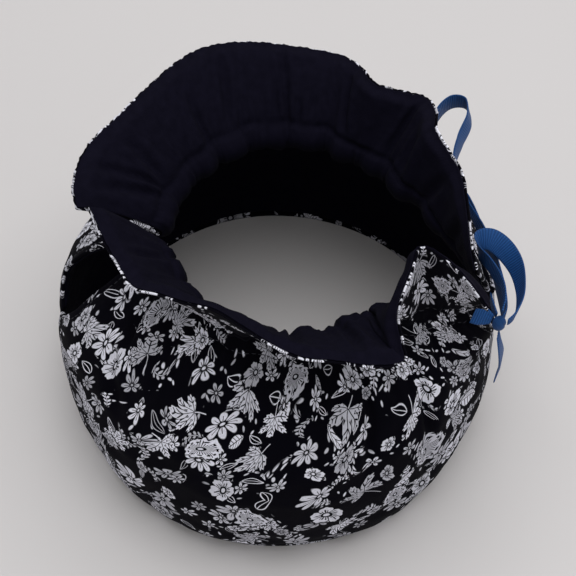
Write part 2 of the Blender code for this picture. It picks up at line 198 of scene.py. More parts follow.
# Creases, listed one by one: a line on the cloth, across from the left edge and up from the neck.
FRONT_CREASES = [
    # across, up, across at its end, up at its end, half width, depth
    (30.0, -12.0, 48.0, -36.0, 2.6, 1.2),
    (40.0, -40.0, 70.0, -60.0, 3.0, 1.2),
    (40.0, -98.0, 84.0, -78.0, 3.4, 1.6),
    (70.0, -10.0, 76.0, -44.0, 2.6, 0.9),
    (112.0, -6.0, 126.0, -40.0, 3.4, 1.5),
    (148.0, -10.0, 156.0, -34.0, 2.4, 0.9),
    (199.0, -12.0, 199.0, -72.0, 2.4, 1.6),
    (214.0, -10.0, 216.0, -44.0, 2.2, 0.8),
    (237.0, -10.0, 233.0, -92.0, 2.6, 1.7),
    (268.0, -8.0, 246.0, -30.0, 2.4, 1.1),
    (286.0, -10.0, 272.0, -62.0, 2.8, 1.3),
    (120.0, -104.0, 168.0, -112.0, 4.0, 0.8),
    (206.0, -104.0, 258.0, -96.0, 4.0, 0.8),
]
BACK_CREASES = [
    # across, up, across at its end, up at its end, half width, depth
    (30.0, -18.0, 34.0, -58.0, 2.6, 0.9),
    (78.0, -14.0, 74.0, -60.0, 2.4, 0.9),
    (112.0, -20.0, 118.0, -82.0, 2.6, 1.1),
    (160.0, -12.0, 156.0, -52.0, 2.4, 0.8),
    (204.0, -24.0, 210.0, -90.0, 2.8, 1.1),
    (246.0, -16.0, 240.0, -58.0, 2.4, 0.9),
    (280.0, -40.0, 270.0, -78.0, 3.0, 0.9),
]
# Creases of the lining, listed in the same way.
FRONT_LINING_CREASES = [
    # across, up, across at its end, up at its end, half width, depth
    (32.0, 34.0, 28.0, 2.0, 2.4, 1.0),
    (74.0, 32.0, 82.0, -4.0, 3.0, 1.4),
    (118.0, 34.0, 124.0, -8.0, 3.2, 1.4),
    (147.0, 36.0, 148.0, -10.0, 3.4, 1.8),
    (184.0, 34.0, 194.0, -12.0, 3.2, 1.8),
    (216.0, 30.0, 224.0, -8.0, 3.0, 1.4),
    (262.0, 28.0, 268.0, -6.0, 2.6, 1.0),
]
BACK_LINING_CREASES = [
    # across, up, across at its end, up at its end, half width, depth
    (10.0, 34.0, 26.0, 2.0, 2.2, 1.0),
    (20.0, 36.0, 34.0, 4.0, 2.2, 1.0),
    (42.0, 30.0, 36.0, 6.0, 2.4, 1.2),
    (86.0, 26.0, 80.0, 4.0, 2.2, 1.2),
    (112.0, 34.0, 101.0, 6.0, 2.0, 1.6),
    (137.0, 20.0, 134.0, 2.0, 1.6, 1.1),
    (141.0, 38.0, 145.0, 2.0, 1.8, 1.5),
    (151.0, 18.0, 154.0, 4.0, 1.5, 1.0),
    (159.0, 20.0, 158.0, 6.0, 1.5, 1.0),
    (181.0, 34.0, 186.0, 6.0, 2.2, 1.6),
    (219.0, 38.0, 219.0, 8.0, 2.8, 1.8),
    (236.0, 30.0, 240.0, 2.0, 2.6, 1.4),
    (262.0, 30.0, 258.0, 0.0, 2.6, 1.2),
    (288.0, 34.0, 284.0, 2.0, 2.6, 1.0),
]

# Ribbon from the mouths of the casings to the knot, and its loops and free end.
RIBBON_WIDTH = 9.6
PINCHED = 4.4
KNOT_CENTRE = np.array([87.5, -42.5, 111.0])
KNOT_HALF = np.array([2.9, 2.7, 4.4])
RIBBONS = {
    # x, y, z, tilt, width
    "tie_front": [
        (77.0, -38.8, 113.6, -46.0, RIBBON_WIDTH),
        (79.6, -39.8, 113.1, -44.0, 9.0),
        (82.4, -40.6, 112.4, -40.0, 6.8),
        (84.6, -41.2, 111.8, -34.0, PINCHED),
    ],
    "tie_back": [
        (84.6, -30.8, 112.8, 8.0, RIBBON_WIDTH),
        (85.4, -35.0, 112.4, 6.0, 7.6),
        (86.7, -39.4, 111.6, 4.0, PINCHED),
    ],
    "bow_loop_side": [
        (91.0, -42.6, 111.6, 0.0, PINCHED),
        (94.0, -39.6, 111.8, 4.0, 7.0),
        (97.0, -33.0, 112.0, 10.0, RIBBON_WIDTH),
        (98.0, -25.0, 112.4, 16.0, RIBBON_WIDTH),
        (96.8, -16.4, 113.8, 28.0, RIBBON_WIDTH),
        (92.4, -9.4, 116.5, 44.0, RIBBON_WIDTH),
        (86.4, -5.8, 119.3, 48.0, RIBBON_WIDTH),
        (80.8, -6.8, 120.0, 30.0, RIBBON_WIDTH),
        (80.2, -12.6, 120.5, 8.0, RIBBON_WIDTH),
        (84.2, -20.0, 121.2, 0.0, RIBBON_WIDTH),
        (88.4, -29.0, 120.6, 0.0, 9.0),
        (89.4, -36.0, 118.6, 0.0, 6.8),
        (88.2, -40.6, 116.8, 0.0, PINCHED),
    ],
    "bow_loop_back": [
        (89.4, -39.8, 109.0, 0.0, PINCHED),
        (91.6, -34.0, 107.6, 0.0, 7.4),
        (91.6, -25.0, 107.0, 0.0, RIBBON_WIDTH),
        (90.4, -15.0, 107.0, 0.0, RIBBON_WIDTH),
        (88.6, -4.0, 107.0, 0.0, RIBBON_WIDTH),
        (85.0, 8.0, 107.5, -4.0, RIBBON_WIDTH),
        (79.0, 18.5, 111.0, -8.0, RIBBON_WIDTH),
        (74.0, 28.5, 117.0, -8.0, RIBBON_WIDTH),
        (73.5, 36.5, 120.5, -10.0, RIBBON_WIDTH),
        (76.0, 44.0, 125.0, -14.0, RIBBON_WIDTH),
        (80.0, 52.5, 129.5, -16.0, RIBBON_WIDTH),
        (79.0, 60.5, 131.0, -12.0, RIBBON_WIDTH),
        (72.0, 61.5, 130.5, 0.0, RIBBON_WIDTH),
        (65.5, 54.5, 128.0, 6.0, RIBBON_WIDTH),
        (64.5, 45.5, 119.5, 8.0, RIBBON_WIDTH),
        (71.0, 37.0, 107.6, 6.0, RIBBON_WIDTH),
        (80.5, 28.0, 101.4, 0.0, RIBBON_WIDTH),
        (87.0, 11.0, 97.2, 0.0, RIBBON_WIDTH),
        (90.6, -8.0, 96.2, 0.0, RIBBON_WIDTH),
        (92.4, -23.0, 96.2, 0.0, RIBBON_WIDTH),
        (92.0, -32.0, 97.8, 0.0, 7.4),
        (90.0, -37.4, 101.6, 0.0, PINCHED),
    ],
    "bow_tail": [
        (87.6, -44.6, 106.2, 0.0, PINCHED),
        (89.2, -46.0, 98.6, 0.0, 7.4),
        (91.2, -45.0, 88.0, 4.0, RIBBON_WIDTH),
        (92.0, -43.6, 80.0, 8.0, RIBBON_WIDTH),
        (91.6, -45.4, 71.0, 12.0, RIBBON_WIDTH),
    ],
}
UPRIGHT = (0.0, 0.0, 1.0)
WIDTH_ALONG = {"bow_tail": (0.2, 0.98, 0.0)}

# The lining's outer side over the smooth base surface, and how much its creases are deepened.
LINING_FACE = -2.1
LINING_CREASE_GAIN = 1.6

# Sewn lines: from the neck to each side of the casing, and in from an edge to its row.
CASING_HALF = 6.5
STITCH_INSET = 4.5
STITCH_SPACING = 3.1
STITCH_LENGTH = 2.3
STITCH_THICKNESS = 0.5

# Spacing of the cloth's yarns and of the ribbon's ribs, in millimetres.
YARN_PITCH = 0.42
RIB_PITCH = 1.0

# Rows and columns of each grid of cloth.
OUTER_GRID = (168, 206)
LINING_GRID = (136, 176)
STITCH_GRID = (260, 320)

# What the lining leaves free at the hem, at the rim and at the sides, and how round its edge is.
LINING_MARGINS = (4.4, 0.45, 1.0, 0.9)

# Small folds at the neck: pitch, and their run down and up.
OUTER_GATHERS = (13.5, 30.0, 17.0)
LINING_LOBES = (26.0, 30.0, 26.0)
LINING_GATHERS = (11.0, 18.0, 15.0)

# Camera at the photograph's angle, measured from the neck's axis.
CAMERA_DIP = 57.0
CAMERA_AWAY = 550.0
CAMERA_AIM = np.array([0.0, 0.0, 130.0])
CAMERA_LIFT = -31.3
CAMERA_SIDE = -0.6
LENS = 81.25
SENSOR = 36.0

# Floor and lamps, in metres: a lamp's size, its place and its aim.
FLOOR_REACH = 6.0
FLOOR_LEVEL = -0.0004
KEY_LAMP = (1.2, (0.10, 0.10, 1.20), (0.0, 0.0, 0.05))
FILL_LAMP = (1.0, (0.9, -0.7, 0.7), (0.0, 0.0, 0.08))


def spline(rows, positions):
    """Smooth curve through the rows: cubic pieces whose slope at a row is that of its neighbours."""
    table = np.asarray(rows, dtype=float)
    padded = np.vstack([2 * table[0] - table[1], table, 2 * table[-1] - table[-2]])
    start = np.clip(np.floor(positions).astype(int), 0, len(table) - 2)
    part = (positions - start)[..., None]
    before, here, there, after = (padded[start + step] for step in range(4))
    slope_here = (there - before) / 2
    slope_there = (after - here) / 2
    rise = there - here
    return (here + part * slope_here + part ** 2 * (3 * rise - 2 * slope_here - slope_there)
            + part ** 3 * (slope_here + slope_there - 2 * rise))


def smooth_step(value, low, high):
    """Rise from 0 at low to 1 at high with level ends."""
    share = np.clip((value - low) / (high - low), 0.0, 1.0)
    return share * share * (3.0 - 2.0 * share)


def bump(value, centre, half_width):
    """Bell of height 1 at the centre, down to a third at the half width."""
    return np.exp(-((value - centre) / half_width) ** 2)


def polar(azimuth, radius, height):
    """Points at an azimuth in degrees, a radius and a height, stacked on the last axis."""
    angle = np.radians(azimuth)
    return np.stack([radius * np.cos(angle), radius * np.sin(angle), height + 0.0 * angle], axis=-1)


BODY_CURVE = tuple(np.array(BODY_PROFILE).T)


class Panel:
    """One half of the cosy: a cloth whose width is even from hem to rim."""

    def __init__(self, sections, folds, slit, hem_from, hem_to, creases, lining_creases, seed):
        self.sections = np.array(sections)
        self.folds = folds
        self.slit = slit
        self.hem = (hem_from, hem_to)
        self.creases = creases
        self.lining_creases = lining_creases
        self.seed = seed
        self.last = len(sections) - 1
        rim = polar(*self.sections.T[3:])
        length = np.concatenate([[0.0], np.cumsum(np.linalg.norm(np.diff(rim, axis=0), axis=1))])
        self.cloth_share = length / length[-1]

    def share(self, place):
        """Share of the cloth's width at a place counted in sections."""
        return np.interp(place, np.arange(self.last + 1), self.cloth_share)

    def body(self, place, height, section):
        """Round of the profile's radius at a height, turned from the hem's azimuth to the neck's."""
        neck_azimuth, neck_radius, neck_height = np.moveaxis(section, -1, 0)[:3]
        level = np.maximum(height, HEM_SHARE)
        fullness = spline(FULLNESS_TABLE, level * FULLNESS_STEPS)[..., 0]
        share = self.share(place)
        hem_azimuth = self.hem[0] + (self.hem[1] - self.hem[0]) * share
        turn = smooth_step(height, SLIT_FOOT, 1.0)
        above = np.clip((height - SLIT_FOOT) / (1.0 - SLIT_FOOT), 0.0, 1.0)
        opening = np.sin(math.pi * above ** OPENING_LEAN)
        near_left = (1.0 - share) ** 3
        near_right = share ** 3
        azimuth = hem_azimuth + (neck_azimuth - hem_azimuth) * turn
        azimuth = azimuth + opening * self.slit["bow_left"] * near_left
        azimuth = azimuth + opening * self.slit["bow_right"] * near_right
        radius = NECK_RADIUS + (BELLY_RADIUS - NECK_RADIUS) * fullness
        reach = smooth_step(height, self.slit["reach_from"], 1.0)
        radius = radius + (neck_radius - NECK_RADIUS) * reach
        radius = radius + opening * self.slit["push_left"] * near_left ** 2
        for middle, centre, half_width, half_height, depth in DENTS:
            across = ((azimuth - middle + 180.0) % 360.0 - 180.0) / half_width
            upward = (level - centre) / half_height
            radius = radius - depth * np.exp(-across ** 2 - upward ** 2)
        points = polar(azimuth, radius, height * neck_height)
        points[..., 0] += BELLY_SHIFT * (1.0 - smooth_step(height, SHIFT_FROM, 1.0))
        return points

    def collar(self, rise, section):
        """Straight line from neck to rim, raised by an arch where it leans out."""
        columns = np.moveaxis(section, -1, 0)
        neck = polar(*columns[:3])
        rim = polar(*columns[3:])
        chord = rim - neck
        lean = np.hypot(chord[..., 0], chord[..., 1]) / np.linalg.norm(chord, axis=-1)
        points = neck + chord * rise[..., None]
        points[..., 2] += COLLAR_ARCH * lean * 4.0 * rise * (1.0 - rise)
        return points

    def face(self, place, level):
        """Body below level 1 and collar above it, drawn in towards the axis at each fold."""
        section = spline(self.sections, place)
        lower = self.body(place, np.minimum(level, 1.0), section)
        upper = self.collar(np.clip(level - 1.0, 0.0, 1.0), section)
        points = np.where((level <= 1.0)[..., None], lower, upper)
        along = (level - 1.0) * np.where(level < 1.0, BODY_LENGTH, COLLAR_LENGTH)
        depth = np.zeros(place.shape)
        for centre, half_width, deep, run_down, run_up in self.folds:
            run = np.where(along < 0.0, run_down, run_up)
            depth += deep * bump(place, centre, half_width) * np.exp(-(along / run) ** 2)
        depth *= smooth_step(1.0 + along / BODY_LENGTH, HEM_SHARE, FOLDS_FROM)
        flat = np.hypot(points[..., 0], points[..., 1])
        points[..., 0] -= depth * points[..., 0] / flat
        points[..., 1] -= depth * points[..., 1] / flat
        return points


# The profile again at even heights, with its corners eased.
FULLNESS_STEPS = 24
_heights = np.linspace(0.0, 1.0, FULLNESS_STEPS + 1)
FULLNESS_TABLE = np.interp(np.maximum(_heights, HEM_SHARE), *BODY_CURVE)[:, None]

FRONT = Panel(FRONT_SECTIONS, FRONT_FOLDS, FRONT_SLIT, SEAM_LEFT + SEAM_GAP, SEAM_RIGHT - SEAM_GAP,
              FRONT_CREASES, FRONT_LINING_CREASES, 3)
BACK = Panel(BACK_SECTIONS, BACK_FOLDS, BACK_SLIT, SEAM_LEFT + 360.0 - SEAM_GAP,
             SEAM_RIGHT + SEAM_GAP, BACK_CREASES, BACK_LINING_CREASES, 8)
PANELS = {"front": FRONT, "back": BACK}


def rounded_line(count, first, last, edge):
    """Even positions from first to last, with five more close to each end, spaced as a quarter
    circle is seen from above; with them the height of that circle, 0 at the ends and 1 inside."""
    angle = np.linspace(0.0, math.pi / 2, 6)[:-1]
    near = edge * (1.0 - np.cos(angle))
    inner = np.linspace(first + edge, last - edge, count)
    line = np.concatenate([first + near, inner, last - near[::-1]])
    height = np.concatenate([np.sin(angle), np.ones(count), np.sin(angle)[::-1]])
    return line, height


def cloth_grid(panel, rows, columns, low, high, inset, edge):
    """Base points of a panel with rows at even lengths of cloth.

    Gives the points, their unit normals outwards, the lengths across and up from the neck, and how
    round the edge is at each point.  Lengths up are the mean over the columns of the lengths of
    the steps between rows."""
    fine = np.linspace(0.0, 2.0, 401)
    place = np.linspace(0.0, panel.last, 41)
    probe = panel.face(*np.meshgrid(place, fine))
    steps = np.linalg.norm(np.diff(probe, axis=0), axis=-1).mean(axis=1)
    length = np.concatenate([[0.0], np.cumsum(steps)])
    neck = np.interp(1.0, fine, length)
    line, round_row = rounded_line(rows, length[0] + low, length[-1] - high, edge)
    level = np.interp(line, length, fine)
    width, round_column = rounded_line(columns, inset, CLOTH_WIDTH - inset, edge)
    place = np.interp(width / CLOTH_WIDTH, panel.cloth_share, np.arange(panel.last + 1))
    across, up = np.meshgrid(width, line - neck)
    points = panel.face(*np.meshgrid(place, level))
    normals = grid_normals(points)
    flat = points.reshape(-1, 3)[:, :2] - points.reshape(-1, 3)[:, :2].mean(axis=0)
    if (normals.reshape(-1, 3)[:, :2] * flat).sum() < 0:
        normals = -normals
    return points, normals, across, up, round_row[:, None] * round_column[None, :]


def grid_normals(points):
    """Unit normal at each point of a grid, from the steps across and up."""
    across = np.gradient(points, axis=1)
    upward = np.gradient(points, axis=0)
    normal = np.cross(across, upward)
    return normal / np.linalg.norm(normal, axis=-1, keepdims=True)


def waves(across, up, seed, count, length, stretch):
    """Sum of sine waves of about one length in seeded directions, scaled to stay within 1."""
    draw = np.random.default_rng(seed)
    total = np.zeros(across.shape)
    for _ in range(count):
        heading = draw.uniform(0.0, 2.0 * math.pi)
        pitch = 2.0 * math.pi / (length * draw.uniform(0.7, 1.4))
        shift = draw.uniform(0.0, 2.0 * math.pi)
        total += np.sin(pitch * (across * math.cos(heading) + up * math.sin(heading) * stretch) + shift)
    return total / math.sqrt(2.0 * count)


def gathers(across, up, seed, pitch, run_down, run_up):
    """Rows of small folds drawn in by the casing: crests along the cloth, highest at the neck, of
    uneven width and length, wandering a little as they fade."""
    draw = np.random.default_rng(seed)
    phase = draw.uniform(0.0, 2.0 * math.pi, 6)
    wander = 0.28 * np.sin(across / 23.0 + phase[0]) + 0.20 * np.sin(across / 9.5 + phase[1])
    wander = wander + 0.0035 * up * np.sin(across / 31.0 + phase[2])
    turn = 2.0 * math.pi * (across / pitch + wander)
    crest = 0.5 + 0.36 * np.sin(turn) + 0.14 * np.sin(2.0 * turn + phase[3])
    reach = 1.0 + 0.35 * np.sin(across / 13.0 + phase[4]) + 0.25 * np.sin(across / 5.7 + phase[5])
    run = np.where(up < 0.0, run_down, run_up) * reach
    return crest * np.exp(-np.abs(up / run) ** 1.4)


def crease_relief(across, up, creases):
    """Valley along each crease's line, of bell section, fading to its ends, with low shoulders."""
    total = np.zeros(across.shape)
    for from_across, from_up, to_across, to_up, half_width, depth in creases:
        run = np.array([to_across - from_across, to_up - from_up])
        span = np.hypot(*run)
        along = ((across - from_across) * run[0] + (up - from_up) * run[1]) / span ** 2
        side = ((across - from_across) * run[1] - (up - from_up) * run[0]) / span
        fade = smooth_step(along, -0.15, 0.25) * (1.0 - smooth_step(along, 0.6, 1.15))
        ridge = 0.45 * (bump(side, 2.1 * half_width, half_width) + bump(side, -2.1 * half_width, half_width))
        total += depth * fade * (ridge - bump(side, 0.0, half_width))
    return total


def outer_relief(panel, across, up, gather_depth):
    """Height of the printed face over the base: gathers, soft waves, creases, sewn lines."""
    foot = up.min()
    from_edge = np.minimum(across, CLOTH_WIDTH - across)
    height = gather_depth * gathers(across, up, panel.seed, *OUTER_GATHERS)
    height = height + 0.65 * waves(across, up, panel.seed + 1, 7, 40.0, 0.6)
    height = height + 0.22 * waves(across, up, panel.seed + 2, 9, 15.0, 0.8)
    height = height + crease_relief(across, up, panel.creases)
    height = height * (1.0 - 0.75 * bump(from_edge, 0.0, 4.0)) * smooth_step(up, foot, foot + 9.0)
    pucker = 0.5 + 0.5 * np.sin(2.0 * math.pi * across / 6.5 + 2.0 * np.sin(across / 19.0))
    for line in (-CASING_HALF, CASING_HALF):
        height = height - (0.55 + 0.35 * pucker) * bump(up, line, 1.1)
    height = height - (0.25 + 0.30 * pucker) * bump(up, foot + STITCH_INSET, 1.0)
    seam = 1.0 - smooth_step(up, -68.0, -58.0)
    side_pucker = 0.5 + 0.5 * np.sin(2.0 * math.pi * up / 7.0 + 1.5 * np.sin(up / 15.0))
    height = height - seam * (0.7 + 0.5 * side_pucker) * bump(from_edge, 0.0, 2.6)
    return height - (1.0 - seam) * (0.35 + 0.3 * side_pucker) * bump(from_edge, STITCH_INSET, 0.9)


def lining_relief(panel, across, up):
    """How far the lining stands in from the wall: broad soft lobes, gathers, creases, sewn lines."""
    height = 1.5 * gathers(across, up, panel.seed + 20, *LINING_LOBES)
    height = height + 0.8 * gathers(across, up, panel.seed + 23, *LINING_GATHERS)
    height = height + 1.15 + 0.60 * waves(across, up, panel.seed + 21, 7, 32.0, 0.7)
    height = height + 0.14 * waves(across, up, panel.seed + 22, 9, 12.0, 0.9)
    height = height + LINING_CREASE_GAIN * crease_relief(across, up, panel.lining_creases)
    for line in (-CASING_HALF, CASING_HALF):
        height = height * (1.0 - 0.7 * bump(up, line, 1.3))
    near_edge = np.minimum(across - across.min(), across.max() - across)
    height = height * smooth_step(up.max() - up, 0.0, 5.0) * smooth_step(near_edge, 0.0, 5.0)
    return np.maximum(height, 0.0)


def rim_share(up, top):
    """How near the rim: 0 over most of the cloth, 1 along the last millimetre."""
    return smooth_step(up, top - 5.0, top - 0.8)


def rim_ripple(points, across, up, top):
    """Small uneven scallops of a sewn edge, along the cloth at the rim alone."""
    upward = np.gradient(points, axis=0)
    upward /= np.linalg.norm(upward, axis=-1, keepdims=True)
    wave = np.sin(2.0 * math.pi * across / 3.3 + 1.3 * np.sin(across / 7.0))
    wave = wave + 0.8 * np.sin(2.0 * math.pi * across / 7.9 + 1.7 * np.sin(across / 17.0))
    return upward * (0.22 * wave * rim_share(up, top))[..., None]


def double_sheet(name, front, back, across, up, material):
    """Closed sheet from two grids of one shape that meet along their border.

    The front's faces wind as its grid does and the back's the other way, and the border's points
    are shared.  The map named Cloth holds the lengths across and up in millimetres."""
    rows, columns = front.shape[:2]
    number = np.arange(rows * columns).reshape(rows, columns)
    under = np.full((rows, columns), -1)
    inner = (slice(1, -1), slice(1, -1))
    under[inner] = rows * columns + np.arange((rows - 2) * (columns - 2)).reshape(rows - 2, columns - 2)
    under = np.where(under < 0, number, under)
    points = np.concatenate([front.reshape(-1, 3), back[inner].reshape(-1, 3)])
    quads = [np.stack([grid[:-1, :-1], grid[:-1, 1:], grid[1:, 1:], grid[1:, :-1]], axis=-1)
             for grid in (number, under)]
    faces = np.concatenate([quads[0].reshape(-1, 4), quads[1].reshape(-1, 4)[:, ::-1]])
    mesh = mesh_from(name, points, faces)
    flat = np.stack([across, up], axis=-1)
    flat = np.concatenate([flat.reshape(-1, 2), flat[inner].reshape(-1, 2)])
    layer = mesh.uv_layers.new(name="Cloth")
    layer.data.foreach_set("uv", flat[faces.ravel()].astype(np.float32).ravel())
    return add_piece(name, mesh, material)


def mesh_from(name, points, faces):
    """Mesh of quads from arrays in millimetres about the neck's axis."""
    mesh = bpy.data.meshes.new(name)
    mesh.vertices.add(len(points))
    mesh.vertices.foreach_set("co", ((points + AXIS) * MM).astype(np.float32).ravel())
    mesh.loops.add(faces.size)
    mesh.loops.foreach_set("vertex_index", faces.astype(np.int32).ravel())
    mesh.polygons.add(len(faces))
    mesh.polygons.foreach_set("loop_start", np.arange(0, faces.size, 4, dtype=np.int32))
    mesh.update(calc_edges=True)
    mesh.validate()
    mesh.shade_smooth()
    return mesh


def add_piece(name, mesh, material):
    """Object at the origin that rides on the cosy's only body."""
    mesh.materials.append(material)
    piece = bpy.data.objects.new(name, mesh)
    bpy.context.scene.collection.objects.link(piece)
    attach(piece, BODY)
    return piece


def outward_order(points, normals):
    """Whether a grid's own winding agrees with its outward normals."""
    return (grid_normals(points) * normals).sum() > 0


class Field:
    """A number worked out by math nodes, so that a pattern reads as its formula."""

    def __init__(self, tree, socket):
        self.tree = tree
        self.socket = socket

    def math(self, operation, *others, clamp=False):
        """Math node on this number and others."""
        node = self.tree.nodes.new("ShaderNodeMath")
        node.operation = operation
        node.use_clamp = clamp
        for socket, value in zip(node.inputs, (self, *others)):
            if isinstance(value, Field):
                self.tree.links.new(value.socket, socket)
            else:
                socket.default_value = value
        return Field(self.tree, node.outputs[0])

    def __add__(self, other):
        return self.math("ADD", other)

    def __sub__(self, other):
        return self.math("SUBTRACT", other)

    def __mul__(self, other):
        return self.math("MULTIPLY", other)

    def __truediv__(self, other):
        return self.math("DIVIDE", other)

    def __rsub__(self, other):
        return self.math("MULTIPLY", -1.0).math("ADD", other)

    def squared(self):
        """The number times itself."""
        return self.math("MULTIPLY", self)

    def inside(self, soft=0.12):
        """1 where the number is below nought and 0 where it is above, soft over a small width."""
        return self.math("MULTIPLY_ADD", -0.5 / soft, 0.5, clamp=True)


def distance(x, y):
    """Length of the vector x, y."""
    return (x.squared() + y.squared()).math("SQRT")


def oval(x, y, middle_x, middle_y, half_x, half_y):
    """Below nought inside an oval, growing about as millimetres do across its short side."""
    across = ((x - middle_x) / half_x).squared()
    upward = ((y - middle_y) / half_y).squared()
    return ((across + upward).math("SQRT") - 1.0) * min(half_x, half_y)


def stroke(offset, half_width):
    """Thin line where an offset is near nought."""
    return (offset.math("ABSOLUTE") - half_width).inside(0.06)


def margin(outline, width):
    """The outline's inside with a soft border round it."""
    return (outline - width).inside(0.3)


def both(*masks):
    """Least of some masks."""
    result = masks[0]
    for mask in masks[1:]:
        result = result.math("MINIMUM", mask)
    return result


def either(*masks):
    """Greatest of some masks."""
    result = masks[0]
    for mask in masks[1:]:
        result = result.math("MAXIMUM", mask)
    return result


def petal_axes(x, y, petals):
    """Distance from the middle, and position along and beside the nearest of even petals."""
    far = distance(x, y)
    turn = y.math("ARCTAN2", x) * (petals / (2.0 * math.pi))
    near = (turn - turn.math("ROUND")) * (2.0 * math.pi / petals)
    return far, far * near.math("COSINE"), far * near.math("SINE"), near


def star_flower(x, y, size, petals):
    """Flower of separate teardrop petals, each with a dark line, round a dot."""
    far, along, beside, _ = petal_axes(x, y, petals)
    taper = (along - 0.60 * size) * (0.11 / size) + 0.19
    petal = oval(along, beside / (taper * (1.0 / 0.19)), 0.62 * size, 0.0, 0.38 * size, 0.19 * size)
    line = both(stroke(beside, 0.13), (along - 0.70 * size).inside())
    shape = either(both(petal.inside(), 1.0 - line), (far - 0.12 * size).inside())
    return shape, margin(far, 1.06 * size)


def stamens(far, angle, size, count, reach):
    """Dark hairs out from a flower's heart, of uneven length."""
    hair = (angle * float(count)).math("SINE")
    uneven = (angle * 5.0 + 0.7).math("SINE") * (0.12 * size) + (angle * 8.0).math("SINE") * (0.08 * size)
    span = both((far - uneven - reach * size).inside(0.2), (0.20 * size - far).inside(0.1))
    return both((0.30 - hair).inside(0.35), span)


def blossom(x, y, size, petals):
    """Flower of round petals that touch, with a ring at its heart and dark lines out from it."""
    far, along, beside, near = petal_axes(x, y, petals)
    lobe = (near * (petals / 2.0)).math("COSINE").math("ABSOLUTE").math("POWER", 0.55)
    frill = (near * (petals * 3.0)).math("COSINE") * (0.035 * size)
    outline = far - (lobe * (0.36 * size) + frill + 0.62 * size)
    ring = ((far - 0.24 * size).math("ABSOLUTE") - 0.07 * size).inside(0.08)
    ray_reach = (along - 0.47 * size).math("ABSOLUTE") - 0.15 * size
    ray = both(stroke(beside, 0.16), ray_reach.inside())
    edge = (math.pi / petals - near.math("ABSOLUTE")).math("SINE") * far
    split = both((edge - 0.17).inside(0.06), (0.34 * size - far).inside())
    hair = stamens(far, y.math("ARCTAN2", x), size, petals * 4, 0.56)
    dark = either(ring, ray, split, hair)
    return both(outline.inside(), 1.0 - dark), margin(outline, 0.9)


def ragged_bloom(x, y, size):
    """Big bloom with a torn edge, dark hairs round its heart and dashes towards its edge."""
    far, _, _, _ = petal_axes(x, y, 7)
    angle = y.math("ARCTAN2", x)
    edge = (angle * 9.0).math("SINE") * (0.07 * size) + (angle * 14.0 + 1.0).math("SINE") * (0.05 * size)
    outline = far - (edge + 0.86 * size)
    ring = (far * (2.0 * math.pi / (0.27 * size)) + (angle * 5.0).math("SINE") * 0.6).math("SINE")
    dash = (angle * 11.0 + far * (5.0 / size)).math("SINE")
    dashes = both((0.35 - ring).inside(0.25), (0.05 - dash).inside(0.3), (0.5 * size - far).inside())
    heart = ((far - 0.14 * size).math("ABSOLUTE") - 0.05 * size).inside(0.08)
    hair = stamens(far, angle, size, 31, 0.58)
    return both(outline.inside(), 1.0 - either(dashes, heart, hair)), margin(outline, 0.9)


def fan_leaf(x, y, size):
    """Leaf of five toothed fingers spread from its stalk, with dark veins in each."""
    far, _, beside, near = petal_axes(x, y, 8)
    angle = y.math("ARCTAN2", x)
    finger = (near * 4.0).math("COSINE").math("ABSOLUTE").math("POWER", 0.9)
    spread = (angle * 0.5).math("COSINE").math("MAXIMUM", 0.0)
    tooth = (near * 40.0).math("COSINE") * (0.05 * size)
    reach = (finger * 0.66 + 0.34) * (spread * 0.75 + 0.25) * size
    outline = far - (reach + tooth)
    sector = (angle.math("ABSOLUTE") - 1.96).inside(0.05)
    vein = both(stroke(beside, 0.15), (far - 0.74 * size).inside())
    slant = (beside.math("ABSOLUTE") * 1.5 - far) * (2.0 * math.pi / (0.24 * size))
    slit = both((0.62 - slant.math("SINE")).inside(0.2), (0.30 * size - far).inside(),
                (far - reach + 0.10 * size).inside())
    stalk_reach = (x + 0.3 * size).math("ABSOLUTE") - 0.3 * size
    stalk = both(stroke(y, 0.22), stalk_reach.inside())
    leaf = both(outline.inside(), sector, 1.0 - either(vein, slit))
    return either(leaf, stalk), both(margin(outline, 0.8), (angle.math("ABSOLUTE") - 2.3).inside(0.2))


def sprig(x, y, size):
    """Curved stalk with pairs of small slanted leaves."""
    bent = y - x.squared() * (0.9 / size) + 0.20 * size
    pitch = 0.34 * size
    step = x / pitch
    local = (step - step.math("ROUND")) * pitch
    side = bent.math("ABSOLUTE")
    slant_x = local * 0.80 - side * 0.60
    slant_y = local * 0.60 + side * 0.80
    leaf = oval(slant_x, slant_y, -0.10 * size, 0.17 * size, 0.085 * size, 0.17 * size)
    taper = (x.math("ABSOLUTE") - 0.92 * size).inside()
    stalk = (side - 0.20).inside(0.06)
    shape = both(either(leaf.inside(), stalk), taper)
    return shape, both(margin(side, 0.44 * size), margin(x.math("ABSOLUTE"), 1.05 * size))


def lined_leaf(x, y, size, hollow):
    """Pointed leaf with a dark midrib and slanted veins, or only its outline."""
    half = (x / size).squared() * -0.42 * size + 0.42 * size
    outline = y.math("ABSOLUTE") - half
    if hollow:
        rib = both(stroke(y, 0.16), outline.inside())
        shape = both(either(stroke(outline, 0.22), rib), (x.math("ABSOLUTE") - size).inside())
        return shape, margin(outline, 0.6)
    vein = ((x + y.math("ABSOLUTE") * 0.9) * (2.0 * math.pi / (0.36 * size))).math("SINE")
    dark = either(stroke(y, 0.14), (0.80 - vein).inside(0.12))
    return both(outline.inside(), 1.0 - dark), margin(outline, 0.6)


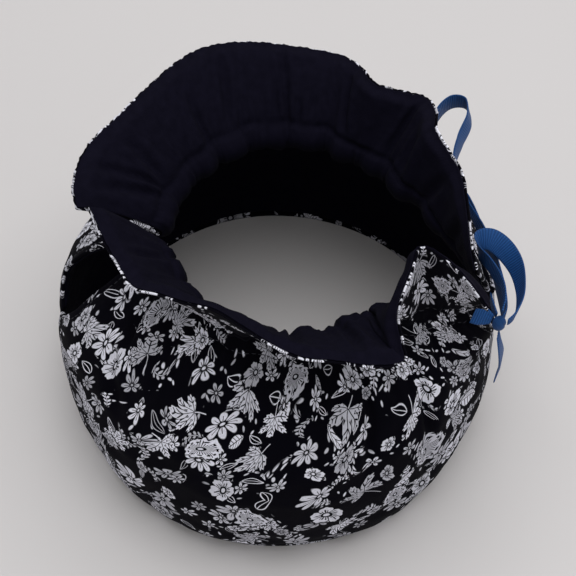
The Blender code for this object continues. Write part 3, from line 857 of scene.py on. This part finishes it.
def scatter(tree, cloth, spacing, turn, shift, loose):
    """Uneven net of places on the cloth: x and y from the nearest, each turned its own way, and two
    numbers between 0 and 1 that belong to the place."""
    nodes = tree.nodes
    mapping = nodes.new("ShaderNodeMapping")
    mapping.inputs["Rotation"].default_value = (0.0, 0.0, turn)
    mapping.inputs["Location"].default_value = (shift, 0.6 * shift, 0.0)
    net = nodes.new("ShaderNodeTexVoronoi")
    net.voronoi_dimensions = "2D"
    net.inputs["Scale"].default_value = 1.0 / spacing
    net.inputs["Randomness"].default_value = loose
    apart = nodes.new("ShaderNodeVectorMath")
    apart.operation = "SUBTRACT"
    parts = nodes.new("ShaderNodeSeparateColor")
    spin = nodes.new("ShaderNodeVectorRotate")
    spin.rotation_type = "Z_AXIS"
    local = nodes.new("ShaderNodeSeparateXYZ")
    link = tree.links.new
    link(cloth, mapping.inputs["Vector"])
    link(mapping.outputs["Vector"], net.inputs["Vector"])
    link(mapping.outputs["Vector"], apart.inputs[0])
    link(net.outputs["Position"], apart.inputs[1])
    link(net.outputs["Color"], parts.inputs["Color"])
    link(apart.outputs["Vector"], spin.inputs["Vector"])
    angle = Field(tree, parts.outputs["Red"]) * (2.0 * math.pi)
    link(angle.socket, spin.inputs["Angle"])
    link(spin.outputs["Vector"], local.inputs["Vector"])
    x, y = (Field(tree, local.outputs[axis]) for axis in "XY")
    return x, y, Field(tree, parts.outputs["Green"]), Field(tree, parts.outputs["Blue"])


def chosen(pick, low, high):
    """1 where a place's number lies between low and high."""
    return both((pick - high).inside(0.001), (low - pick).inside(0.001))


def lay_over(under, tone, layers):
    """Each motif in turn with the dark round it, over what lies under, some fainter than others."""
    for shape, halo, here in layers:
        under = either(both(under, 1.0 - halo * here), shape * here * tone)
    return under


def faint(number):
    """Tone of a place's motif: most are full and the rest fade to half."""
    return (number * 1.6).math("MINIMUM", 1.0).math("MULTIPLY_ADD", 0.42, 0.58)


def printed_motifs(tree, cloth, scale):
    """The print: small ovals and sprigs under leaves, star flowers and blossoms, and big blooms on
    top.  Every motif has a dark margin, and some places stay dark."""
    wobble = tree.nodes.new("ShaderNodeTexNoise")
    wobble.noise_dimensions = "2D"
    wobble.inputs["Scale"].default_value = 0.06
    wobble.inputs["Detail"].default_value = 0.0
    shifted = tree.nodes.new("ShaderNodeVectorMath")
    shifted.operation = "MULTIPLY_ADD"
    shifted.inputs[1].default_value = (9.0, 9.0, 0.0)
    sized = tree.nodes.new("ShaderNodeVectorMath")
    sized.operation = "SCALE"
    sized.inputs["Scale"].default_value = 1.0 / scale
    tree.links.new(cloth, sized.inputs[0])
    tree.links.new(sized.outputs["Vector"], wobble.inputs["Vector"])
    tree.links.new(wobble.outputs["Color"], shifted.inputs[0])
    tree.links.new(sized.outputs["Vector"], shifted.inputs[2])
    warped = shifted.outputs["Vector"]

    open_ground = noise(tree, warped, 0.045, 0.0)
    filled = (open_ground - 0.50).inside(0.02)
    x, y, pick, tone = scatter(tree, warped, 4.4, 0.35, 13.0, 0.8)
    dots = both(oval(x, y, 0.0, 0.0, 1.30, 0.58).inside() * chosen(pick, 0.0, 0.50), filled) * faint(tone)
    x, y, pick, tone = scatter(tree, warped, 12.0, 1.10, 47.0, 0.7)
    result = lay_over(dots, faint(tone), [
        (*sprig(x, y, 6.2), both(chosen(pick, 0.0, 0.48), filled)),
        (*lined_leaf(x, y, 4.4, True), chosen(pick, 0.52, 0.74)),
        (*lined_leaf(x, y, 4.4, False), chosen(pick, 0.74, 0.82)),
    ])
    x, y, pick, tone = scatter(tree, warped, 12.5, 0.62, 91.0, 0.65)
    result = lay_over(result, faint(tone), [
        (*star_flower(x, y, 4.8, 7), chosen(pick, 0.0, 0.20)),
        (*blossom(x, y, 3.9, 5), chosen(pick, 0.20, 0.32)),
        (*star_flower(x, y, 3.8, 6), chosen(pick, 0.32, 0.46)),
    ])
    x, y, pick, tone = scatter(tree, warped, 21.0, 0.20, 23.0, 0.6)
    result = lay_over(result, faint(tone), [
        (*fan_leaf(x, y, 10.0), chosen(pick, 0.0, 0.34)),
        (*lined_leaf(x, y, 7.6, False), chosen(pick, 0.34, 0.40)),
        (*star_flower(x, y, 7.0, 8), chosen(pick, 0.40, 0.60)),
    ])
    x, y, pick, tone = scatter(tree, warped, 25.0, 0.85, 71.0, 0.5)
    return lay_over(result, faint(tone), [
        (*ragged_bloom(x, y, 7.8), chosen(pick, 0.0, 0.16)),
        (*blossom(x, y, 6.8, 5), chosen(pick, 0.16, 0.36)),
        (*blossom(x, y, 6.0, 6), chosen(pick, 0.36, 0.48)),
    ])


def new_material(name, roughness):
    """Material with a Principled shader, whose tree, shader and links are given back."""
    material = bpy.data.materials.new(name)
    material.use_nodes = True
    tree = material.node_tree
    shader = tree.nodes["Principled BSDF"]
    shader.inputs["Roughness"].default_value = roughness
    return material, tree, shader


def uv_socket(tree):
    """Lengths across and up the cloth, in millimetres."""
    node = tree.nodes.new("ShaderNodeUVMap")
    node.uv_map = "Cloth"
    return node.outputs["UV"]


def noise(tree, vector, scale, detail=2.0):
    """Noise field at a scale in turns a unit."""
    node = tree.nodes.new("ShaderNodeTexNoise")
    node.inputs["Scale"].default_value = scale
    node.inputs["Detail"].default_value = detail
    tree.links.new(vector, node.inputs["Vector"])
    return Field(tree, node.outputs["Fac"])


def weave(tree, cloth, pitch):
    """Plain weave: threads across and up, over and under by turns."""
    parts = tree.nodes.new("ShaderNodeSeparateXYZ")
    tree.links.new(cloth, parts.inputs["Vector"])
    x, y = (Field(tree, parts.outputs[axis]) * (math.pi / pitch) for axis in "XY")
    return x.math("SINE") * y.math("SINE")


def bump_from(tree, shader, height, strength, depth):
    """Bump from a height field, its depth in metres."""
    node = tree.nodes.new("ShaderNodeBump")
    node.inputs["Strength"].default_value = strength
    node.inputs["Distance"].default_value = depth
    tree.links.new(height.socket, node.inputs["Height"])
    tree.links.new(node.outputs["Normal"], shader.inputs["Normal"])


def mix_colour(tree, share, first, second):
    """Colour between two, which are tuples or sockets."""
    node = tree.nodes.new("ShaderNodeMix")
    node.data_type = "RGBA"
    tree.links.new(share.socket, node.inputs[0])
    for socket, colour in ((node.inputs[6], first), (node.inputs[7], second)):
        if isinstance(colour, bpy.types.NodeSocket):
            tree.links.new(colour, socket)
        else:
            socket.default_value = (*colour, 1.0)
    return node.outputs[2]


def cotton_finish(tree, shader, height, sheen_roughness, strength, depth):
    """Dull yarn: next to no gloss, a trace of sheen and the bump of its weave."""
    shader.inputs["Specular IOR Level"].default_value = 0.04
    shader.inputs["Sheen Weight"].default_value = 0.004
    shader.inputs["Sheen Roughness"].default_value = sheen_roughness
    bump_from(tree, shader, height, strength, depth)


def printed_cotton(settings):
    """Dark cotton with a light print that has worn thin in places, over a plain weave."""
    material, tree, shader = new_material("printed_cotton", 0.82)
    cloth = uv_socket(tree)
    motifs = printed_motifs(tree, cloth, settings.print_scale)
    thin = noise(tree, cloth, 0.9).math("MULTIPLY_ADD", 0.5, 0.62, clamp=True)
    patchy = noise(tree, cloth, 0.035, 1.0).math("MULTIPLY_ADD", 0.5, 0.72, clamp=True)
    share = motifs * thin * patchy
    ground = mix_colour(tree, noise(tree, cloth, 0.08), settings.ground_colour, settings.ground_colour_worn)
    colour = mix_colour(tree, share, ground, settings.motif_colour)
    tree.links.new(colour, shader.inputs["Base Color"])
    height = weave(tree, cloth, YARN_PITCH) * 0.6 + noise(tree, cloth, 2.2) * 0.7 + motifs * 0.10
    cotton_finish(tree, shader, height, 0.5, 0.35, 0.00022)
    return material


def navy_cotton(settings):
    """Plain navy cotton with soft, uneven yarn."""
    material, tree, shader = new_material("navy_cotton", 0.88)
    cloth = uv_socket(tree)
    uneven = noise(tree, cloth, 0.25, 3.0)
    colour = mix_colour(tree, uneven, settings.lining_colour, settings.lining_colour_worn)
    tree.links.new(colour, shader.inputs["Base Color"])
    height = weave(tree, cloth, YARN_PITCH) * 0.6 + noise(tree, cloth, 1.6) * 0.8
    cotton_finish(tree, shader, height, 0.45, 0.4, 0.00025)
    return material


def grosgrain(settings):
    """Ribbed ribbon: round ribs across its width and a firm edge at each side, with painted shade that
    darkens the colour between the ribs.
    """
    material, tree, shader = new_material("grosgrain_ribbon", 0.48)
    cloth = uv_socket(tree)
    parts = tree.nodes.new("ShaderNodeSeparateXYZ")
    tree.links.new(cloth, parts.inputs["Vector"])
    across, along = (Field(tree, parts.outputs[axis]) for axis in "XY")
    rib = (along * (2.0 * math.pi / RIB_PITCH)).math("SINE").math("MULTIPLY_ADD", 0.5, 0.5)
    side = (4.2 - across.math("ABSOLUTE")).inside(0.15)
    thread = (along * (2.0 * math.pi / YARN_PITCH)).math("SINE") * side
    height = rib * (1.0 - side) + thread * 0.5
    # Painted shade: the colour is lightest on the ribs' crowns and darkest between them, with a random
    # unevenness over it.
    share = rib.math("MULTIPLY_ADD", 0.50, 0.22) + noise(tree, cloth, 0.5) * 0.3
    colour = mix_colour(tree, share, settings.ribbon_painted_shade, settings.ribbon_colour)
    tree.links.new(colour, shader.inputs["Base Color"])
    shader.inputs["Specular IOR Level"].default_value = 0.16
    shader.inputs["Sheen Weight"].default_value = 0.02
    bump_from(tree, shader, height, 0.8, 0.0003)
    return material


def sewing_thread(settings):
    """Twisted dark thread."""
    material, tree, shader = new_material("sewing_thread", 0.6)
    coordinates = tree.nodes.new("ShaderNodeTexCoord")
    uneven = noise(tree, coordinates.outputs["Object"], 1800.0)
    colour = mix_colour(tree, uneven, settings.ground_colour, settings.thread_colour)
    tree.links.new(colour, shader.inputs["Base Color"])
    bump_from(tree, shader, uneven, 0.4, 0.0001)
    return material


def build_outer(name, panel, settings, material):
    """Printed outer: face and back held apart along the base's normals, thin at the rim and with
    the hem turned in."""
    points, normals, across, up, edge = cloth_grid(panel, *OUTER_GRID, 0.0, 0.0, 0.0, 1.0)
    height = outer_relief(panel, across, up, settings.gather_depth)
    hem = smooth_step(-up, -up.min() - 5.0, -up.min() - 4.0)
    rim = rim_share(up, up.max())
    thick = settings.outer_thickness + (settings.hem_thickness - settings.outer_thickness) * hem
    thick = thick + (settings.rim_thickness - settings.outer_thickness) * rim
    height = height * (1.0 - hem) * (1.0 - rim)
    points = points + rim_ripple(points, across, up, up.max())
    middle = height - thick / 2
    face = points + normals * (middle + thick / 2 * edge)[..., None]
    under = points + normals * (middle - thick / 2 * edge)[..., None]
    face[0, :, 2] = np.maximum(face[0, :, 2], 0.0)
    if not outward_order(points, normals):
        face, under, across, up = (grid[:, ::-1] for grid in (face, under, across, up))
    piece = double_sheet("printed_" + name, face, under, across, up, material)
    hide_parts("outer_" + name)
    "printed_cotton_" + name
    return piece


def build_lining(name, panel, settings, material):
    """Lining: a sheet inside the outer, from the rim, which it meets, down to the hem."""
    points, normals, across, up, edge = cloth_grid(panel, *LINING_GRID, *LINING_MARGINS)
    inward = lining_relief(panel, across, up)
    rim = rim_share(up, up.max())
    points = points + rim_ripple(points, across, up, up.max())
    thick = settings.lining_thickness - 0.5 * rim
    back = LINING_FACE + (settings.outer_thickness - settings.rim_thickness + 0.2) * rim
    middle = back - thick / 2 - inward
    face = points + normals * (middle - thick / 2 * edge)[..., None]
    under = points + normals * (middle + thick / 2 * edge)[..., None]
    if outward_order(points, normals):
        face, under, across, up = (grid[:, ::-1] for grid in (face, under, across, up))
    piece = double_sheet("navy_" + name, face, under, across, up, material)
    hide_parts("lining_" + name)
    "navy_cotton_" + name
    return piece


def ribbon_frame(name, rows, count):
    """Middle line of a ribbon with its direction, the direction of its width and its half width."""
    middle = spline(rows, np.linspace(0.0, len(rows) - 1.0, count))
    along = np.gradient(middle[:, :3], axis=0)
    along /= np.linalg.norm(along, axis=1, keepdims=True)
    reference = np.array(WIDTH_ALONG.get(name, UPRIGHT))
    upright = reference - along * (along @ reference)[:, None]
    upright /= np.linalg.norm(upright, axis=1, keepdims=True)
    tilt = np.radians(middle[:, 3:4])
    width = np.cos(tilt) * upright + np.sin(tilt) * np.cross(along, upright)
    return middle[:, :3], along, width, middle[:, 4] / 2


def build_ribbon(name, settings, material):
    """Strip of ribbon: its width swept along the route, cupped a little, with thin round edges."""
    rows = RIBBONS[name]
    count = 12 * (len(rows) - 1) + 1
    middle, along, width, half = ribbon_frame(name, rows, count)
    thin = np.cross(along, width)
    side, round_side = rounded_line(13, -1.0, 1.0, 0.06)
    length = np.concatenate([[0.0], np.cumsum(np.linalg.norm(np.diff(middle, axis=0), axis=1))])
    round_end = np.ones(count)
    round_end[[0, -1]] = 0.0
    half = half * settings.ribbon_width / RIBBON_WIDTH
    cup = 0.35 * np.sin(length / 11.0)[:, None] * (1.0 - side ** 2) * (half / half.max())[:, None] ** 2
    pleat = 0.30 * np.cos(side * 9.0) * (1.0 - half / half.max())[:, None]
    base = middle[:, None] + width[:, None] * (side * half[:, None])[..., None]
    lift = (cup + pleat)[..., None] * thin[:, None]
    rounding = (round_side[None, :] * round_end[:, None])[..., None]
    wall = settings.ribbon_thickness / 2 * rounding * thin[:, None]
    across = side[None, :] * half[:, None]
    up = np.repeat(length[:, None], len(side), axis=1)
    face, under = base + lift + wall, base + lift - wall
    if (grid_normals(face) * thin[:, None]).sum() < 0:
        face, under, across, up = (grid[:, ::-1] for grid in (face, under, across, up))
    piece = double_sheet("ribbon_" + name, face, under, across, up, material)
    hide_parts(name)
    return piece, length[-1]


def build_knot(material):
    """Knot: an egg of the solid's size with the ribbon's wraps as slanted ridges round it."""
    turn = np.linspace(0.0, 2.0 * math.pi, 73)
    tip = np.linspace(-1.0, 1.0, 41) * (math.pi / 2)
    around, lift = np.meshgrid(turn, tip)
    slant = around * 2.0 + 2.2 * np.sin(lift)
    wrap = 1.0 - 0.10 * np.exp(-(np.sin(slant / 2.0 + 0.5) / 0.22) ** 2) * np.cos(lift)
    shape = np.stack([np.cos(lift) * np.cos(around), np.cos(lift) * np.sin(around), np.sin(lift)], axis=-1)
    points = shape * wrap[..., None] * KNOT_HALF + KNOT_CENTRE
    rows, columns = points.shape[:2]
    ring = np.arange((rows - 2) * (columns - 1)).reshape(rows - 2, columns - 1)
    ring = np.hstack([ring, ring[:, :1]])
    quads = np.stack([ring[:-1, :-1], ring[:-1, 1:], ring[1:, 1:], ring[1:, :-1]], axis=-1).reshape(-1, 4)
    body = points[1:-1, :-1].reshape(-1, 3)
    low, high = len(body), len(body) + 1
    faces = quads.tolist()
    faces += [(low, *pair[::-1]) for pair in zip(ring[0, :-1].tolist(), ring[0, 1:].tolist())]
    faces += [(high, *pair) for pair in zip(ring[-1, :-1].tolist(), ring[-1, 1:].tolist())]
    ends = np.vstack([body, points[0, 0], points[-1, 0]])
    mesh = bpy.data.meshes.new("ribbon_bow_knot")
    mesh.from_pydata(((ends + AXIS) * MM).tolist(), [], faces)
    mesh.shade_smooth()
    layer = mesh.uv_layers.new(name="Cloth")
    vertex = np.empty(len(mesh.loops), dtype=np.int32)
    mesh.loops.foreach_get("vertex_index", vertex)
    flat = np.stack([4.0 * np.sin(ends[:, 2] - KNOT_CENTRE[2]),
                     5.0 * np.arctan2(*(ends - KNOT_CENTRE)[:, 1::-1].T)], axis=-1)
    layer.data.foreach_set("uv", flat[vertex].astype(np.float32).ravel())
    piece = add_piece("ribbon_bow_knot", mesh, material)
    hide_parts("bow_knot")
    return piece


def stitch_row(points, normals, spacing, long, thick):
    """Small closed beads along a line of points, as far apart as the spacing, each long and thin
    and laid along the line: an eight-sided spindle of five rings."""
    length = np.concatenate([[0.0], np.cumsum(np.linalg.norm(np.diff(points, axis=0), axis=1))])
    middles = np.arange(spacing, length[-1] - spacing / 2, spacing)

    def at(values, where):
        """Values read along the line at some lengths."""
        return np.stack([np.interp(where, length, values[:, axis]) for axis in range(3)], axis=-1)

    centre = at(points, middles)
    along = at(points, middles + long / 2) - at(points, middles - long / 2)
    along /= np.linalg.norm(along, axis=1, keepdims=True)
    out = at(normals, middles)
    out -= along * (out * along).sum(axis=1, keepdims=True)
    out /= np.linalg.norm(out, axis=1, keepdims=True)
    side = np.cross(along, out)
    ring = np.linspace(0.0, 2.0 * math.pi, 9)[:-1]
    rise = np.array([-1.0, -0.8, 0.0, 0.8, 1.0])
    girth = np.array([0.05, 0.62, 1.0, 0.62, 0.05])
    body = (centre[:, None, None] + along[:, None, None] * (rise * long / 2)[None, :, None, None]
            + (out[:, None, None] * np.cos(ring)[None, None, :, None]
               + side[:, None, None] * np.sin(ring)[None, None, :, None])
            * (girth * thick / 2)[None, :, None, None])
    first = np.arange(len(middles))[:, None, None] * 40
    grid = first + np.arange(40).reshape(5, 8)[None]
    nxt = np.roll(grid, -1, axis=2)
    sides = np.stack([grid[:, :-1], grid[:, 1:], nxt[:, 1:], nxt[:, :-1]], axis=-1).reshape(-1, 4)
    caps = np.concatenate([grid[:, 0, [0, 1, 2, 3]], grid[:, 0, [0, 3, 4, 7]], grid[:, 0, [4, 5, 6, 7]],
                           grid[:, -1, [3, 2, 1, 0]], grid[:, -1, [7, 4, 3, 0]], grid[:, -1, [7, 6, 5, 4]]])
    return body.reshape(-1, 3), np.concatenate([sides, caps])


def build_stitches(name, panel, settings, material):
    """Sewn lines of a panel: both sides of the casing, the hem and the slits' edges."""
    points, normals, across, up, _ = cloth_grid(panel, *STITCH_GRID, 0.0, 0.0, 0.0, 1.2)
    height = outer_relief(panel, across, up, settings.gather_depth)
    face = points + normals * (height + 0.05)[..., None]
    above_foot = up[:, 0] > -56.0
    below_rim = up[:, 0] < up.max() - 4.0
    near_left = np.abs(across[0] - STITCH_INSET).argmin()
    near_right = np.abs(across[0] - CLOTH_WIDTH + STITCH_INSET).argmin()
    inner = slice(near_left, near_right + 1)
    lines = []
    for line in (-CASING_HALF, CASING_HALF, up.min() + STITCH_INSET):
        row = np.abs(up[:, 0] - line).argmin()
        lines.append((face[row, inner], normals[row, inner]))
    for column in (near_left, near_right):
        rows = above_foot & below_rim
        lines.append((face[rows, column], normals[rows, column]))
    bodies, faces, count = [], [], 0
    for line_points, line_normals in lines:
        body, quads = stitch_row(line_points, line_normals, STITCH_SPACING, STITCH_LENGTH, STITCH_THICKNESS)
        bodies.append(body)
        faces.append(quads + count)
        count += len(body)
    mesh = mesh_from("stitches_" + name, np.concatenate(bodies), np.concatenate(faces))
    piece = add_piece("stitches_" + name, mesh, material)
    "printed_cotton_" + name
    return piece


class TeaCosySettings(bpy.types.PropertyGroup):
    """Sizes and colours of the cosy."""

    outer_thickness: bpy.props.FloatProperty(
        name="Outer thickness", description="Printed cotton with its wadding, in millimetres",
        default=1.8, min=0.5, max=4.0)
    lining_thickness: bpy.props.FloatProperty(
        name="Lining thickness", description="Plain cotton with its wadding, in millimetres",
        default=1.3, min=0.5, max=3.0)
    rim_thickness: bpy.props.FloatProperty(
        name="Rim", description="Thickness of the printed cloth along the rim, in millimetres",
        default=1.0, min=0.5, max=3.0)
    hem_thickness: bpy.props.FloatProperty(
        name="Hem", description="Thickness of the turned hem, in millimetres",
        default=3.0, min=1.0, max=4.0)
    gather_depth: bpy.props.FloatProperty(
        name="Gather depth", description="Height of the small folds at the neck, in millimetres",
        default=1.7, min=0.0, max=3.0)
    print_scale: bpy.props.FloatProperty(
        name="Print scale", description="Size of the printed motifs", default=1.0, min=0.5, max=2.0)
    ground_colour: bpy.props.FloatVectorProperty(
        name="Ground", description="Print's dark ground", subtype="COLOR", size=3,
        default=(0.0006, 0.0005, 0.0020), min=0.0, max=1.0)
    ground_colour_worn: bpy.props.FloatVectorProperty(
        name="Ground, worn", description="Ground where the cloth has rubbed", subtype="COLOR", size=3,
        default=(0.0018, 0.0015, 0.0042), min=0.0, max=1.0)
    motif_colour: bpy.props.FloatVectorProperty(
        name="Motifs", description="Light colour of the print", subtype="COLOR", size=3,
        default=(0.86, 0.86, 0.96), min=0.0, max=1.0)
    lining_colour: bpy.props.FloatVectorProperty(
        name="Lining", description="Navy of the lining", subtype="COLOR", size=3,
        default=(0.0020, 0.0017, 0.0050), min=0.0, max=1.0)
    lining_colour_worn: bpy.props.FloatVectorProperty(
        name="Lining, worn", description="Lining where the cloth has rubbed", subtype="COLOR", size=3,
        default=(0.0058, 0.0052, 0.0125), min=0.0, max=1.0)
    thread_colour: bpy.props.FloatVectorProperty(
        name="Thread", description="Sewing thread", subtype="COLOR", size=3,
        default=(0.016, 0.016, 0.030), min=0.0, max=1.0)
    ribbon_width: bpy.props.FloatProperty(
        name="Ribbon width", description="Width of the ribbon, in millimetres",
        default=RIBBON_WIDTH, min=4.0, max=14.0)
    ribbon_thickness: bpy.props.FloatProperty(
        name="Ribbon thickness", description="Thickness of the ribbon, in millimetres",
        default=0.6, min=0.2, max=1.0)
    ribbon_colour: bpy.props.FloatVectorProperty(
        name="Ribbon", description="Crown of the ribbon's ribs", subtype="COLOR", size=3,
        default=(0.019, 0.092, 0.295), min=0.0, max=1.0)
    # Painted shade: the darker colour the ribbon is given between its ribs.
    ribbon_painted_shade: bpy.props.FloatVectorProperty(
        name="Ribbon, deep", description="Ribbon between its ribs", subtype="COLOR", size=3,
        default=(0.004, 0.026, 0.100), min=0.0, max=1.0)


class StageSettings(bpy.types.PropertyGroup):
    """Floor and light."""

    floor_colour: bpy.props.FloatVectorProperty(
        name="Floor", description="Colour of the floor", subtype="COLOR", size=3,
        default=(0.625, 0.605, 0.605), min=0.0, max=1.0)
    key_power: bpy.props.FloatProperty(
        name="Key light", description="Power of the big lamp", subtype="POWER", default=11.6, min=0.0)
    fill_power: bpy.props.FloatProperty(
        name="Fill light", description="Power of the lamp in front", subtype="POWER",
        default=1.0, min=0.0)
    sky: bpy.props.FloatProperty(
        name="Sky", description="Strength of the even light from all round", default=0.46, min=0.0)


class TEACOSY_OT_outer(bpy.types.Operator):
    """Build the printed outer's two panels"""

    bl_idname = "tea_cosy.outer"
    bl_label = "Printed outer"

    def execute(self, context):
        """Make both panels with one cotton."""
        settings = context.scene.tea_cosy
        material = printed_cotton(settings)
        for name, panel in PANELS.items():
            build_outer(name, panel, settings, material)
        return {"FINISHED"}


class TEACOSY_OT_lining(bpy.types.Operator):
    """Build the navy lining's two panels"""

    bl_idname = "tea_cosy.lining"
    bl_label = "Lining"

    def execute(self, context):
        """Make both linings with one cotton."""
        settings = context.scene.tea_cosy
        material = navy_cotton(settings)
        for name, panel in PANELS.items():
            build_lining(name, panel, settings, material)
        return {"FINISHED"}


class TEACOSY_OT_ribbon(bpy.types.Operator):
    """Build the ribbon's ties, bow and knot"""

    bl_idname = "tea_cosy.ribbon"
    bl_label = "Ribbon bow"

    def execute(self, context):
        """Make each run of ribbon, then the knot over their ends."""
        settings = context.scene.tea_cosy
        material = grosgrain(settings)
        built = {name: build_ribbon(name, settings, material) for name in RIBBONS}
        knot = build_knot(material)
        for name in ("bow_loop_side", "bow_loop_back", "bow_tail"):
            piece, length = built[name]
            length * MM
        return {"FINISHED"}


class TEACOSY_OT_stitching(bpy.types.Operator):
    """Sew the casing, the hem and the slits' edges"""

    bl_idname = "tea_cosy.stitching"
    bl_label = "Stitching"

    def execute(self, context):
        """Lay the stitches of both panels."""
        settings = context.scene.tea_cosy
        material = sewing_thread(settings)
        for name, panel in PANELS.items():
            build_stitches(name, panel, settings, material)
        return {"FINISHED"}


class TEACOSY_OT_stage(bpy.types.Operator):
    """Set the floor, the lights and the camera"""

    bl_idname = "tea_cosy.stage"
    bl_label = "Stage"

    def execute(self, context):
        """Make a plain floor, soft light and the photograph's view."""
        settings = context.scene.tea_cosy_stage
        build_floor(settings)
        build_lights(settings)
        build_camera()
        context.scene.view_settings.view_transform = "Standard"
        return {"FINISHED"}


def build_floor(settings):
    """Flat square of pale floor."""
    material, tree, shader = new_material("pale_floor", 0.7)
    coordinates = tree.nodes.new("ShaderNodeTexCoord")
    cloud = noise(tree, coordinates.outputs["Object"], 3.0)
    worn = tuple(channel * 0.96 for channel in settings.floor_colour)
    colour = mix_colour(tree, cloud, tuple(settings.floor_colour), worn)
    tree.links.new(colour, shader.inputs["Base Color"])
    mesh = bpy.data.meshes.new("floor")
    signs = ((-1, -1), (1, -1), (1, 1), (-1, 1))
    corners = [(x * FLOOR_REACH, y * FLOOR_REACH, FLOOR_LEVEL) for x, y in signs]
    mesh.from_pydata(corners, [], [(0, 1, 2, 3)])
    mesh.materials.append(material)
    floor = bpy.data.objects.new("floor", mesh)
    bpy.context.scene.collection.objects.link(floor)


def area_light(name, power, size, place, aim):
    """Square lamp at a place, turned to its aim."""
    data = bpy.data.lights.new(name, "AREA")
    data.energy = power
    data.size = size
    lamp = bpy.data.objects.new(name, data)
    lamp.location = place
    lamp.rotation_euler = (Vector(aim) - Vector(place)).to_track_quat("-Z", "Y").to_euler()
    bpy.context.scene.collection.objects.link(lamp)


def build_lights(settings):
    """Big soft lamp overhead, a weak one at the front right, and an even sky."""
    area_light("key", settings.key_power, *KEY_LAMP)
    area_light("fill", settings.fill_power, *FILL_LAMP)
    world = bpy.data.worlds.new("studio")
    world.use_nodes = True
    sky = world.node_tree.nodes["Background"]
    sky.inputs["Color"].default_value = (1.0, 1.0, 1.0, 1.0)
    sky.inputs["Strength"].default_value = settings.sky
    bpy.context.scene.world = world


def build_camera():
    """Camera that looks along +Y and down at the collar's ring."""
    dip = math.radians(CAMERA_DIP)
    ahead = np.array([0.0, math.cos(dip), -math.sin(dip)])
    upward = np.array([0.0, math.sin(dip), math.cos(dip)])
    right = np.array([1.0, 0.0, 0.0])
    place = CAMERA_AIM - CAMERA_AWAY * ahead + CAMERA_LIFT * upward + CAMERA_SIDE * right
    data = bpy.data.cameras.new("camera")
    data.lens = LENS
    data.sensor_width = SENSOR
    data.clip_start = 0.05
    data.clip_end = 20.0
    camera = bpy.data.objects.new("camera", data)
    turn = Matrix(np.stack([right, upward, -ahead], axis=1).tolist()).to_4x4()
    camera.matrix_world = Matrix.Translation(Vector((place + AXIS) * MM)) @ turn
    bpy.context.scene.collection.objects.link(camera)
    bpy.context.scene.camera = camera


class TEACOSY_PT_panel(bpy.types.Panel):
    """The cosy's operators and settings in the sidebar"""

    bl_idname = "TEACOSY_PT_panel"
    bl_label = "Tea Cosy"
    bl_space_type = "VIEW_3D"
    bl_region_type = "UI"
    bl_category = "Tea Cosy"

    def draw(self, context):
        """List the operators, then the settings."""
        for operator in OPERATORS:
            self.layout.operator(operator.bl_idname)
        for group in (context.scene.tea_cosy, context.scene.tea_cosy_stage):
            for name in group.bl_rna.properties.keys():
                if name not in {"rna_type", "name"}:
                    self.layout.prop(group, name)


OPERATORS = (TEACOSY_OT_outer, TEACOSY_OT_lining, TEACOSY_OT_ribbon, TEACOSY_OT_stitching, TEACOSY_OT_stage)
CLASSES = (TeaCosySettings, StageSettings, *OPERATORS, TEACOSY_PT_panel)


def register():
    """Add the classes and the scene's settings."""
    for item in CLASSES:
        bpy.utils.register_class(item)
    bpy.types.Scene.tea_cosy = bpy.props.PointerProperty(type=TeaCosySettings)
    bpy.types.Scene.tea_cosy_stage = bpy.props.PointerProperty(type=StageSettings)


def unregister():
    """Take away what register added."""
    del bpy.types.Scene.tea_cosy_stage
    del bpy.types.Scene.tea_cosy
    for item in reversed(CLASSES):
        bpy.utils.unregister_class(item)


def main():
    """Build the cosy and its stage."""
    register()
    bpy.ops.tea_cosy.outer()
    bpy.ops.tea_cosy.lining()
    bpy.ops.tea_cosy.ribbon()
    bpy.ops.tea_cosy.stitching()
    bpy.ops.tea_cosy.stage()


if __name__ == "__main__":
    main()
